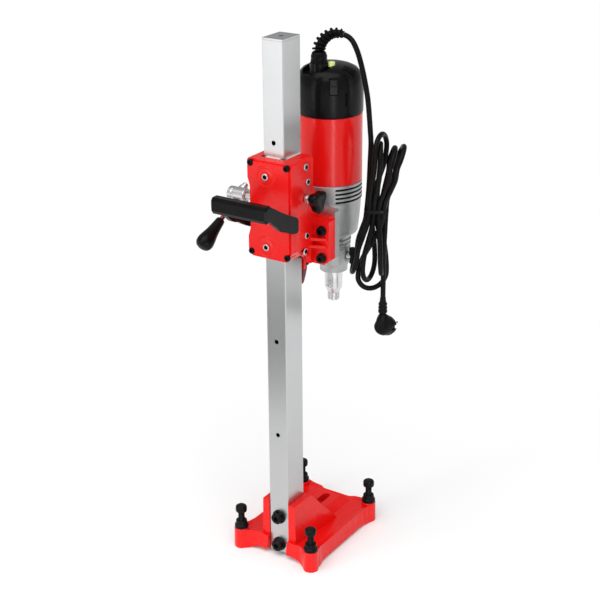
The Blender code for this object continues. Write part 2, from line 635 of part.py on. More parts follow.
def clamp_knob(carriage):
    knob_body = Body("clamp_knob", (0.060, CLAMP_Y, CLAMP_Z), carriage)
    outline = []
    for i in range(36):
        t = 2 * math.pi * i / 36
        radius = 0.0175 + 0.0040 * math.cos(3 * (t + math.pi / 2))
        outline.append((CLAMP_Y + radius * math.cos(t), CLAMP_Z + radius * math.sin(t)))
    knob = prism("clamp_knob", outline, 0.0605, 0.0840, "X")
    bevel_face_edges(knob, "X", 0.0840, 0.003, 1)
    join(knob, cylinder("shank", 0.0050, (CLAMP_Y, CLAMP_Z), COLUMN_HALF_X + 0.0049, 0.062, "X", 12))
    knob_body.add(knob, "black_plastic")


def lock_lever(carriage):
    body = Body("lock_lever", LEVER_PIVOT, carriage)
    place = (LEVER_PIVOT.x, LEVER_PIVOT.z)
    lever = turned("lock_lever", ((0.0070, 0.0393), (0.0085, 0.0405), (0.0085, 0.0520), (0.0065, 0.0535)),
                   place, "Y", 16)
    join(lever, cylinder("pin", 0.0040, place, 0.0325, 0.045, "Y", 12))
    tip = LEVER_PIVOT + Vector((-0.006, 0.0, -0.044))
    join(lever, tapered_rod("arm", LEVER_PIVOT + Vector((0, 0, -0.004)), tip, 0.0062, 0.0032, 12))
    body.add(lever, "maroon")


def feed_crank(carriage):
    centre = (SHAFT_Y, SHAFT_Z)
    for name, low in (("shaft_bush_left", -0.034), ("shaft_bush_right", 0.0115)):
        bush = ring_turned(name, ((SHAFT_RADIUS + GAP, low), (0.0110, low), (0.0110, low + 0.0225),
                                  (SHAFT_RADIUS + GAP, low + 0.0225)), centre, "X", 20)
        carriage.add(bush, "bronze", (low, *centre))

    crank = Body("feed_crank", (0.0, *centre), carriage)
    shaft = cylinder("pinion_shaft", SHAFT_RADIUS, centre, -0.148, 0.036, "X", 20)
    teeth = gear_outline(PINION_TEETH, RACK_MODULE, centre, math.pi)
    join(shaft, prism("teeth", teeth, -0.0085, 0.0085, "X"))
    crank.add(shaft, "steel")

    inner = SHAFT_RADIUS + GAP
    hub = ring_turned("crank_hub", ((inner, HUB_X[0]), (0.0125, HUB_X[0]), (0.0140, HUB_X[0] + 0.002),
                                    (0.0140, HUB_X[1] - 0.002), (0.0125, HUB_X[1]), (inner, HUB_X[1])),
                      centre, "X", 20)
    middle = Vector((ARM_X, *centre))

    def on_arm(distance):
        return middle + ARM_DIRECTION * distance

    far_side = tapered_rod("collar", on_arm(-0.0115), on_arm(-0.020), 0.0085, 0.0080, 14)
    nut = tapered_rod("nut", on_arm(-0.019), on_arm(-0.027), 0.0060, 0.0055, 14)
    rod = tapered_rod("rod", on_arm(0.0115), on_arm(0.066), 0.0045, 0.0045, 12)
    join(hub, far_side, nut, rod)
    crank.add(hub, "steel")

    start = middle + ARM_DIRECTION * (0.066 + GAP)
    side = Vector((1.0, 0.0, 0.0))
    up = ARM_DIRECTION.cross(side)
    rings = []
    for distance, radius in ((0.0, 0.0075), (0.002, 0.0090), (0.035, 0.0130), (0.048, 0.0160),
                             (0.057, 0.0165), (0.064, 0.0140), (0.069, 0.0080)):
        ring_middle = start + ARM_DIRECTION * distance
        rings.append([ring_middle + side * a + up * b for a, b in circle(radius, 16)])
    crank.add(loft("crank_grip", rings), "black_plastic", start)


# ---------------------------------------------------------------- motor and gearbox

def motor_shells(carriage):
    centre = (0.0, MOTOR_Y)
    housing = ring_turned("motor_housing", (
        (0.0565, 0.7133), (MOTOR_RADIUS, 0.7133), (MOTOR_RADIUS, 0.8397), (0.0565, 0.8397)), centre, count=28)
    carriage.add(housing, "red_paint", (*centre, 0.7133))

    cap = ring_turned("motor_cap", (
        (0.0570, 0.8400), (0.0605, 0.8400), (0.0615, 0.8430), (0.0615, 0.8850), (0.0560, 0.9110),
        (0.0480, 0.9235), (0.0380, 0.9295), (0.0180, 0.9350), (0.0020, 0.9360), (0.0020, 0.9180),
        (0.0380, 0.9120), (0.0500, 0.9000), (0.0570, 0.8850)), centre, count=28)
    cut(cap, cylinder("level_seat", 0.0078, LEVEL_PLACE, 0.9290, 0.95, count=16))
    cut(cap, cylinder("gland_seat", 0.0153, GLAND_PLACE, 0.9257, 0.95, count=20))
    seat = block("switch_seat", (0.052, 0.070), (-0.0078, 0.0078), (SWITCH_Z - 0.0148, SWITCH_Z + 0.0148))
    seat.matrix_world = Matrix.Translation((0, MOTOR_Y, 0)) @ Matrix.Rotation(SWITCH_ANGLE, 4, "Z")
    cut(cap, seat)
    carriage.add(cap, "black_plastic", (*centre, 0.8400))

    stator = ring_turned("stator_core", (
        (0.0400, 0.740), (0.0560, 0.740), (0.0560, 0.815), (0.0400, 0.815)), centre, count=24)
    carriage.add(stator, "steel", (*centre, 0.740))

    level = turned("bubble_level", ((0.0075, 0.9293), (0.0075, 0.9375), (0.0060, 0.9395)), LEVEL_PLACE,
                   count=16)
    carriage.add(level, "level_glass", (*LEVEL_PLACE, 0.9293))


def power_switch(carriage):
    outward = Vector((math.cos(SWITCH_ANGLE), math.sin(SWITCH_ANGLE), 0.0))
    place = Vector((0.0, MOTOR_Y, SWITCH_Z)) + outward * 0.060
    body = Body("power_switch", place, carriage)
    rocker = block("power_switch", (-0.0060, 0.0022), (-0.0074, 0.0074), (-0.0144, 0.0144))
    rocker.data.transform(Matrix.Translation(place) @ Matrix.Rotation(SWITCH_ANGLE, 4, "Z"))
    body.add(rocker, "black_plastic")


def gearbox(carriage):
    centre = (0.0, MOTOR_Y)
    box = ring_turned("gearbox_housing", (
        (0.0550, 0.7130), (0.0600, 0.7130), (0.0600, 0.6800), (0.0585, 0.6760), (0.0530, 0.6150),
        (0.0500, 0.6110), (0.0020, 0.6110), (0.0020, 0.6180), (0.0470, 0.6180), (0.0480, 0.6480),
        (0.0550, 0.6520)), centre, count=28)
    neck = turned("neck", (
        (0.0340, 0.6140), (0.0300, 0.6080), (0.0300, 0.6010), (0.0330, 0.5990), (0.0330, 0.5970),
        (0.0300, 0.5950), (0.0300, 0.5910), (0.0330, 0.5890), (0.0330, 0.5870), (0.0300, 0.5850),
        (0.0300, 0.5800), (0.0320, 0.5760), (0.0320, 0.5460), (0.0270, 0.5380), (0.0265, 0.5290)),
        (0.0, SPINDLE_Y), count=20)
    join(box, neck)
    join(box, block("arm", (-0.038, 0.038), (FOOT_Y[1] + GAP, 0.112), (0.620, 0.655)))
    cut(box, cylinder("cavity", 0.0470, centre, 0.6180, 0.6490, count=24))
    cut(box, cylinder("cavity", 0.0545, centre, 0.6480, 0.6520, count=28))
    cut(box, cylinder("bore", 0.0170, (0.0, SPINDLE_Y), 0.5560, 0.6300, count=20))
    cut(box, cylinder("bore", 0.0090, (0.0, SPINDLE_Y), 0.5200, 0.6300, count=20))
    carriage.add(box, "cast_aluminium", (*centre, 0.6110))

    bearing = ring_turned("spindle_bearing", (
        (0.0083, 0.5600), (0.0167, 0.5600), (0.0167, 0.5720), (0.0083, 0.5720)), (0.0, SPINDLE_Y), count=20)
    carriage.add(bearing, "steel", (0.0, SPINDLE_Y, 0.5600))

    fitting = cylinder("water_fitting", 0.0070, (SPINDLE_Y, 0.562), 0.0323, 0.0420, "X", 14)
    join(fitting, turned("valve", ((0.0050, 0.547), (0.0065, 0.549), (0.0065, 0.576), (0.0050, 0.579)),
                         (0.0415, SPINDLE_Y), count=14))
    carriage.add(fitting, "black_plastic", (0.0415, SPINDLE_Y, 0.562))

    x, low, high = PLATE_HALF_X, PLATE_Z[0], FOOT_TOP
    foot = prism("motor_foot", (
        (-x + 0.01, low), (x - 0.01, low), (x, low + 0.008), (x, high - 0.003), (x - 0.003, high),
        (0.037, high), (0.037, 0.660), (-0.037, 0.660), (-0.037, 0.674), (-x + 0.003, 0.674),
        (-x, 0.671), (-x, low + 0.008)), FOOT_Y[0], FOOT_Y[1], "Y")
    for side in (-1, 1):
        for z in BOLT_HEIGHTS:
            cut(foot, cylinder("bore", 0.0043, (side * BOLT_X, z), 0.04, 0.0584, "Y", 12))
    carriage.add(foot, "cast_aluminium", (0.0, FOOT_Y[0], low))


def drive_train(carriage):
    lay_direction = math.atan2(LAYSHAFT[1] - MOTOR_Y, LAYSHAFT[0])
    spindle_direction = math.atan2(SPINDLE_Y - LAYSHAFT[1], -LAYSHAFT[0])

    motor = Body("armature", (0.0, MOTOR_Y, 0.700), carriage)
    centre = (0.0, MOTOR_Y)
    armature = turned("armature", (
        (0.0038, 0.6530), (0.0038, 0.6700), (0.0050, 0.6720), (0.0050, 0.7180), (0.0400, 0.7190),
        (0.0400, 0.7270), (0.0050, 0.7300), (0.0050, 0.7400), (0.0380, 0.7410), (0.0380, 0.8140), (0.0060, 0.8180),
        (0.0060, 0.8400), (0.0150, 0.8410), (0.0150, 0.8640), (0.0050, 0.8660), (0.0050, 0.9000)),
        centre, count=20)
    first_pinion = gear_outline(FIRST_TEETH[0], FIRST_MODULE, centre, lay_direction)
    join(armature, prism("teeth", first_pinion, 0.6535, 0.6690))
    motor.add(armature, "steel")

    lay = Body("layshaft", (*LAYSHAFT, 0.650), carriage)
    lay_gear = cylinder("layshaft_gear", 0.0050, LAYSHAFT, 0.6200, 0.7000, count=14)
    first_wheel = gear_outline(FIRST_TEETH[1], FIRST_MODULE, LAYSHAFT,
                               lay_direction + math.pi + math.pi / FIRST_TEETH[1])
    second_pinion = gear_outline(SECOND_TEETH[0], SECOND_MODULE, LAYSHAFT, spindle_direction)
    join(lay_gear, prism("wheel", first_wheel, 0.6550, 0.6670), prism("teeth", second_pinion, 0.6250, 0.6460))
    lay.add(lay_gear, "steel")

    output = Body("spindle", (0.0, SPINDLE_Y, 0.560), carriage)
    spindle_centre = (0.0, SPINDLE_Y)
    spindle = turned("spindle", (
        (0.0080, 0.6475), (0.0080, 0.5287), (0.0170, 0.5283), (0.0170, 0.4930), (0.0114, 0.4830),
        (0.0114, 0.4680), (0.0104, 0.4665)), spindle_centre, count=24)
    second_wheel = gear_outline(SECOND_TEETH[1], SECOND_MODULE, spindle_centre,
                                spindle_direction + math.pi + math.pi / SECOND_TEETH[1])
    join(spindle, prism("wheel", second_wheel, 0.6300, 0.6430))
    for side in (-1, 1):
        flat = sorted((SPINDLE_Y + side * 0.0150, SPINDLE_Y + side * 0.0300))
        cut(spindle, block("flat", (-0.02, 0.02), flat, (0.498, 0.520)))
    output.add(spindle, "steel")


# ---------------------------------------------------------------- mains cord

def hank_point(across, depth, height):
    """A place on the hank, across and through its flat loops."""
    c, s = math.cos(HANK_TURN), math.sin(HANK_TURN)
    return HANK_MIDDLE + Vector((across * c - depth * s, across * s + depth * c, height))


def hank_section(height, left, right, half_depth):
    """A level section of the tied loops, rounded at its corners."""
    middle = (left + right) / 2
    radius = min(0.008, 0.75 * half_depth, 0.375 * (right - left))
    corners = rounded_rectangle((right - left) / 2, half_depth, radius, 2)
    return [hank_point(middle + a, d, height) for a, d in corners]


def mains_cord(carriage):
    gland = turned("cord_gland", (
        (0.0150, 0.9260), (0.0150, 0.9400), (0.0138, 0.9420), (0.0138, 0.9500), (0.0115, 0.9530)),
        GLAND_PLACE, count=20)
    carriage.add(gland, "black_rubber", (*GLAND_PLACE, 0.926))
    carriage.add(tube("strain_relief", RELIEF_ROUTE, RELIEF_RADIUS, 16), "black_rubber")
    carriage.add(tube("cord_tube", CORD_ROUTE, CORD_RADIUS, 24), "black_rubber")

    hank = loft("cord_hank", [hank_section(*section) for section in HANK_SECTIONS])
    top_loop = loft("top_loop", [hank_section(0.7980, 0.0000, 0.0280, 0.0320),
                                 hank_section(0.8095, 0.0015, 0.0265, 0.0220),
                                 hank_section(0.8145, 0.0060, 0.0220, 0.0110)])
    bottom_loop = loft("bottom_loop", [hank_section(0.5090, -0.0200, 0.0040, 0.0060),
                                       hank_section(0.5115, -0.0250, 0.0090, 0.0120),
                                       hank_section(0.5155, -0.0280, 0.0095, 0.0160)])
    join(hank, top_loop, bottom_loop)
    carriage.add(hank, "black_rubber", hank_point(0.0, 0.0, 0.673))

    band = [hank_section(z, -0.0205, 0.0245, 0.0120) for z in (0.668, 0.678)]
    tie = loft("cord_tie", band)
    cut(tie, loft("hole", [hank_section(z, -0.0193, 0.0233, 0.0108) for z in (0.660, 0.686)]))
    carriage.add(tie, "black_plastic", hank_point(0.002, 0.0, 0.673))

    axis = hank_point(PLUG_DISTANCE, 0.0, 0.0)
    place = (axis.x, axis.y)
    plug = turned("plug", ((0.0090, 0.474), (0.0085, 0.4930),
                          (0.0052, 0.4950), (CORD_RADIUS, 0.5132)), place, count=14)
    body_points = []
    for y, radius, z in ((-0.014, 0.0140, 0.447), (-0.010, 0.0170, 0.446), (0.012, 0.0190, 0.444),
                         (0.016, 0.0185, 0.444)):
        body_points += [(axis.x + 0.003 + a, axis.y + y, z + b) for a, b in circle(radius, 16)]
    body_points += [(axis.x + a, axis.y + b, 0.479) for a, b in circle(0.0088, 12)]
    join(plug, hull("body", body_points))
    for side in (-1, 1):
        pin_place = (axis.x + 0.003 + side * 0.0095, 0.444)
        pin = cylinder("pin", 0.0024, pin_place, axis.y + 0.012, axis.y + 0.035, "Y", 10)
        join(plug, pin)
    carriage.add(plug, "black_rubber", (*place, 0.474))


def main():
    remove_everything()
    root = Body("rig", (0.0, 0.0, 0.0))
    base_casting(root)
    column(root)
    gear_rack(root)
    levelling_feet(root)
    carriage = Body("carriage", (0.0, 0.0, 0.708), root)
    carriage_body(carriage)
    front_cover(carriage)
    carriage_fasteners(carriage)
    glide_pads(carriage)
    carry_handle(carriage)
    clamp_knob(carriage)
    lock_lever(carriage)
    feed_crank(carriage)
    motor_shells(carriage)
    power_switch(carriage)
    gearbox(carriage)
    drive_train(carriage)
    mains_cord(carriage)


main()
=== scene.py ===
"""Core drill rig: finishes, detailed pieces, mains cord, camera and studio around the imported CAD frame."""

import json
import math

import bmesh
import bpy
from mathutils import Matrix, Vector


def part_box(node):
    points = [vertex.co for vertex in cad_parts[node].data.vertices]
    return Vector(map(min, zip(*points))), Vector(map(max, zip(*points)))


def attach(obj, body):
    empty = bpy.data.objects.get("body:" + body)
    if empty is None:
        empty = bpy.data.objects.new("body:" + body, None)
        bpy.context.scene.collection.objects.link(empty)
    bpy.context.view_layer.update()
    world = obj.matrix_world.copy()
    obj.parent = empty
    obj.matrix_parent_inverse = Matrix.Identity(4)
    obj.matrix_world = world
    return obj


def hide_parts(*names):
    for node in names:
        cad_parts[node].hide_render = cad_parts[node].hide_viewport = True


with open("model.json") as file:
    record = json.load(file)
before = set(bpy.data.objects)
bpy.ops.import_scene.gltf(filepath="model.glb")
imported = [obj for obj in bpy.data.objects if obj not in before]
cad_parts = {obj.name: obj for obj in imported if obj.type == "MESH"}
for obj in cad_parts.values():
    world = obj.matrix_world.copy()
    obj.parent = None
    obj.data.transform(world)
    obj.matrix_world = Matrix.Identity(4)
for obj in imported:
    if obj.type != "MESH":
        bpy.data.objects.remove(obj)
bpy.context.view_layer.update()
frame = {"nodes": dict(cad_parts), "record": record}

COLUMN_LOW, COLUMN_HIGH = (Vector(corner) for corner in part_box("column_tube"))
COLUMN = Vector(((COLUMN_LOW.x + COLUMN_HIGH.x) / 2, (COLUMN_LOW.y + COLUMN_HIGH.y) / 2, 0.0))


UP, FRONT, BACK, RIGHT = (0, 0, 1), (0, -1, 0), (0, 1, 0), (1, 0, 0)


def rig(x, y, z):
    """A place measured, as in the CAD model, from the column's axis at floor level."""
    return COLUMN + Vector((x, y, z))


def middle(node):
    low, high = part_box(node)
    return (Vector(low) + Vector(high)) / 2


# ---------------------------------------------------------------- camera and studio

CAMERA_PLACE = COLUMN + Vector((1.34065, -1.98468, 1.50873 + COLUMN_LOW.z))
CAMERA_AZIMUTH = math.radians(33.36)
CAMERA_ELEVATION = math.radians(22.49)
CAMERA_ROLL = math.radians(-0.46)
CAMERA_LENS = 85.64
WORLD_STRENGTH = 0.42
SKY_ENERGY = 2.35
SKY_SPREAD = math.radians(70)
SKY_DIRECTION = (-0.12, 0.50, -1.0)
RIG_MIDDLE = (0.0, 0.0, 0.55)
MOTOR_AIM = (0.0, 0.1, 0.75)
AREA_LIGHTS = (  # name, place, target, size and power
    ("strip", (-0.9, -2.4, 0.9), RIG_MIDDLE, (0.5, 1.8), 12),
    ("low_strip", (1.40, -1.30, 0.28), MOTOR_AIM, (0.35, 0.8), 4.5),
    ("edge", (2.4, 0.9, 1.0), RIG_MIDDLE, (0.4, 1.6), 3),
)
FLOOR_HALF, FLOOR_PLACE, FLOOR_TONE = 30.0, (0.0, 0.0, -0.0004), 0.93
CARD_HALF, CARD_PLACE, CARD_TONE = 0.45, (-0.72, -1.10, 0.004), 0.03


def add_camera():
    azimuth, elevation = CAMERA_AZIMUTH, CAMERA_ELEVATION
    back = Vector((math.sin(azimuth) * math.cos(elevation), -math.cos(azimuth) * math.cos(elevation),
                   math.sin(elevation)))
    right = (-back).cross(Vector(UP)).normalized()
    up = right.cross(-back)
    turned_right = right * math.cos(CAMERA_ROLL) + up * math.sin(CAMERA_ROLL)
    turned_up = up * math.cos(CAMERA_ROLL) - right * math.sin(CAMERA_ROLL)
    data = bpy.data.cameras.new("camera")
    data.lens = CAMERA_LENS
    data.sensor_width = 36.0
    data.clip_end = 50.0
    camera = bpy.data.objects.new("camera", data)
    bpy.context.scene.collection.objects.link(camera)
    camera.matrix_world = Matrix.Translation(CAMERA_PLACE) @ Matrix(
        (turned_right, turned_up, back)).transposed().to_4x4()
    bpy.context.scene.camera = camera


def add_light(name, place, target, size, power):
    data = bpy.data.lights.new(name, "AREA")
    data.shape = "RECTANGLE"
    data.size, data.size_y = size
    data.energy = power
    light = bpy.data.objects.new(name, data)
    bpy.context.scene.collection.objects.link(light)
    light.location = place
    light.rotation_euler = (Vector(target) - Vector(place)).to_track_quat("-Z", "Y").to_euler()


def add_sky_panel():
    """A wide, soft light overhead that reaches the whole floor evenly."""
    data = bpy.data.lights.new("overhead", "SUN")
    data.energy = SKY_ENERGY
    data.angle = SKY_SPREAD
    light = bpy.data.objects.new("overhead", data)
    bpy.context.scene.collection.objects.link(light)
    light.rotation_euler = Vector(SKY_DIRECTION).to_track_quat("-Z", "Y").to_euler()


def flat_finish(name, value):
    """Plain paper for the studio's own surfaces."""
    made = bpy.data.materials.new(name)
    made.use_nodes = True
    shader = made.node_tree.nodes["Principled BSDF"]
    shader.inputs["Base Color"].default_value = (value, value, value, 1.0)
    shader.inputs["Roughness"].default_value = 0.9
    shader.inputs["Specular IOR Level"].default_value = 0.1
    return made


def add_studio():
    """A white backdrop, a pale floor, soft lights, and a dark card that only reflections see."""
    world = bpy.data.worlds.new("studio")
    world.use_nodes = True
    tree = world.node_tree
    backdrop = tree.nodes["Background"]
    backdrop.inputs["Color"].default_value = (1.0, 1.0, 1.0, 1.0)
    sight = tree.nodes.new("ShaderNodeLightPath")
    strength = tree.nodes.new("ShaderNodeMath")
    strength.operation = "MULTIPLY_ADD"
    strength.inputs[1].default_value = 1.0 - WORLD_STRENGTH
    strength.inputs[2].default_value = WORLD_STRENGTH
    tree.links.new(sight.outputs["Is Camera Ray"], strength.inputs[0])
    tree.links.new(strength.outputs[0], backdrop.inputs["Strength"])
    bpy.context.scene.world = world
    bpy.context.scene.view_settings.view_transform = "Standard"

    add_sky_panel()
    for light in AREA_LIGHTS:
        add_light(*light)

    floor = plane("floor", FLOOR_HALF, FLOOR_PLACE)
    floor.data.materials.append(flat_finish("floor_paper", FLOOR_TONE))

    card = plane("dark_card", CARD_HALF, CARD_PLACE)
    card.data.materials.append(flat_finish("card_paper", CARD_TONE))
    card.visible_camera = False
    card.visible_diffuse = False
    card.visible_shadow = False


def plane(name, half, place):
    mesh = bpy.data.meshes.new(name)
    corners = [(-half, -half, 0), (half, -half, 0), (half, half, 0), (-half, half, 0)]
    mesh.from_pydata(corners, [], [(0, 1, 2, 3)])
    made = bpy.data.objects.new(name, mesh)
    bpy.context.scene.collection.objects.link(made)
    made.location = place
    return made


# ---------------------------------------------------------------- materials

def noise(tree, scale, detail=3.0, stretch=(1.0, 1.0, 1.0)):
    """Noise over the object's own coordinates, stretched along its axes."""
    place = tree.nodes.new("ShaderNodeTexCoord")
    mapping = tree.nodes.new("ShaderNodeMapping")
    mapping.inputs["Scale"].default_value = stretch
    texture = tree.nodes.new("ShaderNodeTexNoise")
    texture.inputs["Scale"].default_value = scale
    texture.inputs["Detail"].default_value = detail
    tree.links.new(place.outputs["Object"], mapping.inputs["Vector"])
    tree.links.new(mapping.outputs["Vector"], texture.inputs["Vector"])
    return texture.outputs["Fac"]


def ramp(tree, source, low, high, start=0.35, end=0.65):
    """A colour ramp from low to high over a band of the source's values."""
    node = tree.nodes.new("ShaderNodeValToRGB")
    first, last = node.color_ramp.elements
    first.position, last.position = start, end
    first.color = (*low, 1.0)
    last.color = (*high, 1.0)
    tree.links.new(source, node.inputs["Fac"])
    return node.outputs["Color"]


def spread(tree, source, low, high):
    node = tree.nodes.new("ShaderNodeMapRange")
    node.inputs["From Min"].default_value = 0.3
    node.inputs["From Max"].default_value = 0.7
    node.inputs["To Min"].default_value = low
    node.inputs["To Max"].default_value = high
    tree.links.new(source, node.inputs["Value"])
    return node.outputs["Result"]


def procedural(name, colours, roughness, metallic=0.0, grain=400.0, bump=0.05, depth=0.0003,
               stretch=(1.0, 1.0, 1.0), mottle=18.0, coat=0.0, specular=0.5):
    """A finish of a mottled colour, uneven roughness and a fine surface grain."""
    made = bpy.data.materials.new(name)
    made.use_nodes = True
    tree = made.node_tree
    shader = tree.nodes["Principled BSDF"]
    shader.inputs["Metallic"].default_value = metallic
    shader.inputs["Specular IOR Level"].default_value = specular
    if coat:
        shader.inputs["Coat Weight"].default_value = coat
        shader.inputs["Coat Roughness"].default_value = 0.06
    tree.links.new(ramp(tree, noise(tree, mottle, 4.0), *colours), shader.inputs["Base Color"])
    unevenness = noise(tree, mottle * 3.1, 5.0, stretch)
    tree.links.new(spread(tree, unevenness, *roughness), shader.inputs["Roughness"])
    relief = tree.nodes.new("ShaderNodeBump")
    relief.inputs["Strength"].default_value = bump
    relief.inputs["Distance"].default_value = depth
    tree.links.new(noise(tree, grain, 2.0, stretch), relief.inputs["Height"])
    tree.links.new(relief.outputs["Normal"], shader.inputs["Normal"])
    return made


FINISHES = {
    "red_paint": procedural("red_enamel", ((0.76, 0.005, 0.004), (0.80, 0.007, 0.006)), (0.25, 0.30),
                            grain=420, bump=0.01, depth=0.0002, coat=0.10, specular=0.25, mottle=5.0),
    "aluminium": procedural("satin_anodised", ((0.53, 0.535, 0.54), (0.56, 0.565, 0.57)), (0.30, 0.33), 1.0,
                            grain=900, bump=0.03, depth=0.0001, stretch=(1.0, 1.0, 0.02), mottle=6.0),
    "cast_aluminium": procedural("blasted_casting", ((0.38, 0.385, 0.39), (0.47, 0.475, 0.48)), (0.42, 0.55),
                                 0.85, grain=1300, bump=0.22, depth=0.0003),
    "steel": procedural("turned_steel", ((0.62, 0.62, 0.625), (0.70, 0.70, 0.705)), (0.26, 0.36), 1.0,
                        grain=700, bump=0.05, depth=0.0001, stretch=(0.2, 0.2, 3.0)),
    "black_screw": procedural("black_oxide", ((0.004, 0.004, 0.0045), (0.008, 0.008, 0.009)), (0.20, 0.32),
                              0.2, grain=900, bump=0.04, depth=0.0001, specular=0.12),
    "black_plastic": procedural("grained_plastic", ((0.003, 0.003, 0.0032), (0.006, 0.006, 0.0063)),
                                (0.22, 0.30), grain=1500, bump=0.04, depth=0.0002, specular=0.11),
    "black_rubber": procedural("cord_rubber", ((0.003, 0.003, 0.003), (0.005, 0.005, 0.005)), (0.34, 0.44),
                               grain=1400, bump=0.04, depth=0.0002, specular=0.10),
    "nylon": procedural("natural_nylon", ((0.72, 0.72, 0.69), (0.80, 0.80, 0.77)), (0.40, 0.52),
                        grain=600, bump=0.05),
    "bronze": procedural("sintered_bronze", ((0.40, 0.25, 0.10), (0.50, 0.33, 0.15)), (0.30, 0.45), 1.0,
                         grain=2200, bump=0.12),
    "maroon": procedural("dark_red_plastic", ((0.14, 0.003, 0.008), (0.19, 0.005, 0.011)), (0.18, 0.28),
                         grain=900, bump=0.04, coat=0.3),
    "level_glass": procedural("level_window", ((0.74, 0.90, 0.28), (0.84, 0.96, 0.42)), (0.08, 0.14),
                              grain=300, bump=0.02, coat=0.8),
}


# ---------------------------------------------------------------- mesh tools

def mesh_piece(name, points, faces):
    mesh = bpy.data.meshes.new(name)
    mesh.from_pydata([tuple(p) for p in points], [], faces)
    work = bmesh.new()
    work.from_mesh(mesh)
    bmesh.ops.recalc_face_normals(work, faces=work.faces)
    work.to_mesh(mesh)
    work.free()
    piece = bpy.data.objects.new(name, mesh)
    bpy.context.scene.collection.objects.link(piece)
    return piece


def loft(name, rings, closed=False):
    """A surface through equal rings of points, capped at its ends, or closed on itself as a torus is."""
    count = len(rings[0])
    points = [p for ring in rings for p in ring]
    spans = len(rings) if closed else len(rings) - 1
    faces = []
    for ring in range(spans):
        first, second = ring * count, ((ring + 1) % len(rings)) * count
        for i in range(count):
            j = (i + 1) % count
            faces.append((first + i, first + j, second + j, second + i))
    if not closed:
        faces.append(tuple(range(count)))
        faces.append(tuple(range(len(points) - count, len(points))))
    return mesh_piece(name, points, faces)


def circle(radius, count):
    steps = (2 * math.pi * i / count for i in range(count))
    return [(radius * math.cos(t), radius * math.sin(t)) for t in steps]


def basis(direction):
    """Two directions square to the one given."""
    direction = Vector(direction).normalized()
    helper = UP if abs(direction.z) < 0.9 else RIGHT
    side = direction.cross(Vector(helper)).normalized()
    return side, direction.cross(side)


def turned(name, start, direction, profile, count=64, bored=False):
    """A turned piece: its profile is (radius, distance) pairs along a direction from its start."""
    direction = Vector(direction).normalized()
    side, up = basis(direction)
    rings = []
    for radius, distance in profile:
        centre = Vector(start) + direction * distance
        rings.append([centre + side * a + up * b for a, b in circle(radius, count)])
    return loft(name, rings, closed=bored)


def extruded(name, start, direction, outline, low, high):
    """A straight bar of any section; the outline is in the plane square to the direction."""
    direction = Vector(direction).normalized()
    side, up = basis(direction)
    rings = [[Vector(start) + direction * h + side * a + up * b for a, b in outline] for h in (low, high)]
    return loft(name, rings)


def box(name, low, high, turn=None):
    """A block between two corners, turned and moved by a matrix if one is given."""
    corners = ((low[0], low[1]), (high[0], low[1]), (high[0], high[1]), (low[0], high[1]))
    points = [Vector((a, b, z)) for z in (low[2], high[2]) for a, b in corners]
    if turn:
        points = [turn @ p for p in points]
    return loft(name, [points[:4], points[4:]])


def combine(piece, tool, operation="DIFFERENCE"):
    """Cuts a tool out of a piece, or joins it on, and removes the tool."""
    modifier = piece.modifiers.new("cut", "BOOLEAN")
    modifier.operation = operation
    modifier.solver = "EXACT"
    modifier.object = tool
    graph = bpy.context.evaluated_depsgraph_get()
    mesh = bpy.data.meshes.new_from_object(piece.evaluated_get(graph))
    piece.modifiers.clear()
    piece.data = mesh
    bpy.data.objects.remove(tool, do_unlink=True)


def soften(piece, width, segments=2, angle=30):
    """Rounds a piece's edges and shades it smooth between them."""
    if width:
        modifier = piece.modifiers.new("round_edges", "BEVEL")
        modifier.width = width
        modifier.segments = segments
        modifier.limit_method = "ANGLE"
        modifier.angle_limit = math.radians(angle)
        modifier.use_clamp_overlap = True
        modifier.harden_normals = False
    piece.data.shade_smooth()
    piece.data.set_sharp_from_angle(angle=math.radians(40))


def dress(piece, body, slot, nodes=(), edge=0.0004, segments=2):
    """Gives a new piece its body, finish and rounded edges, and hides the CAD nodes it stands for."""
    piece.data.materials.clear()
    piece.data.materials.append(FINISHES[slot])
    if piece.type == "MESH":
        soften(piece, edge, segments)
    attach(piece, body)
    if nodes:
        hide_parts(*nodes)
    return piece


def smooth_points(route, per_span):
    """Points of a Catmull-Rom curve through the route, per_span to each stretch."""
    route = [Vector(p) for p in route]
    padded = [2 * route[0] - route[1]] + route + [2 * route[-1] - route[-2]]
    path = []
    for k in range(len(route) - 1):
        a, b, c, d = padded[k:k + 4]
        for i in range(per_span):
            t = i / per_span
            path.append(0.5 * (2 * b + (c - a) * t + (2 * a - 5 * b + 4 * c - d) * t * t
                               + (3 * b - a - 3 * c + d) * t * t * t))
    path.append(route[-1])
    return path


def swept(name, path, radius_at, count=32):
    """A tube along a path whose radius may change along and around it."""
    side, _ = basis(path[1] - path[0])
    rings = []
    for i, place in enumerate(path):
        ahead = path[min(i + 1, len(path) - 1)] - path[max(i - 1, 0)]
        ahead.normalize()
        side = (side - ahead * side.dot(ahead)).normalized()
        up = ahead.cross(side)
        share = i / (len(path) - 1)
        ring = []
        for j in range(count):
            turn = 2 * math.pi * j / count
            radius = radius_at(share, turn)
            ring.append(place + side * (radius * math.cos(turn)) + up * (radius * math.sin(turn)))
        rings.append(ring)
    return loft(name, rings)


# ---------------------------------------------------------------- mains cord

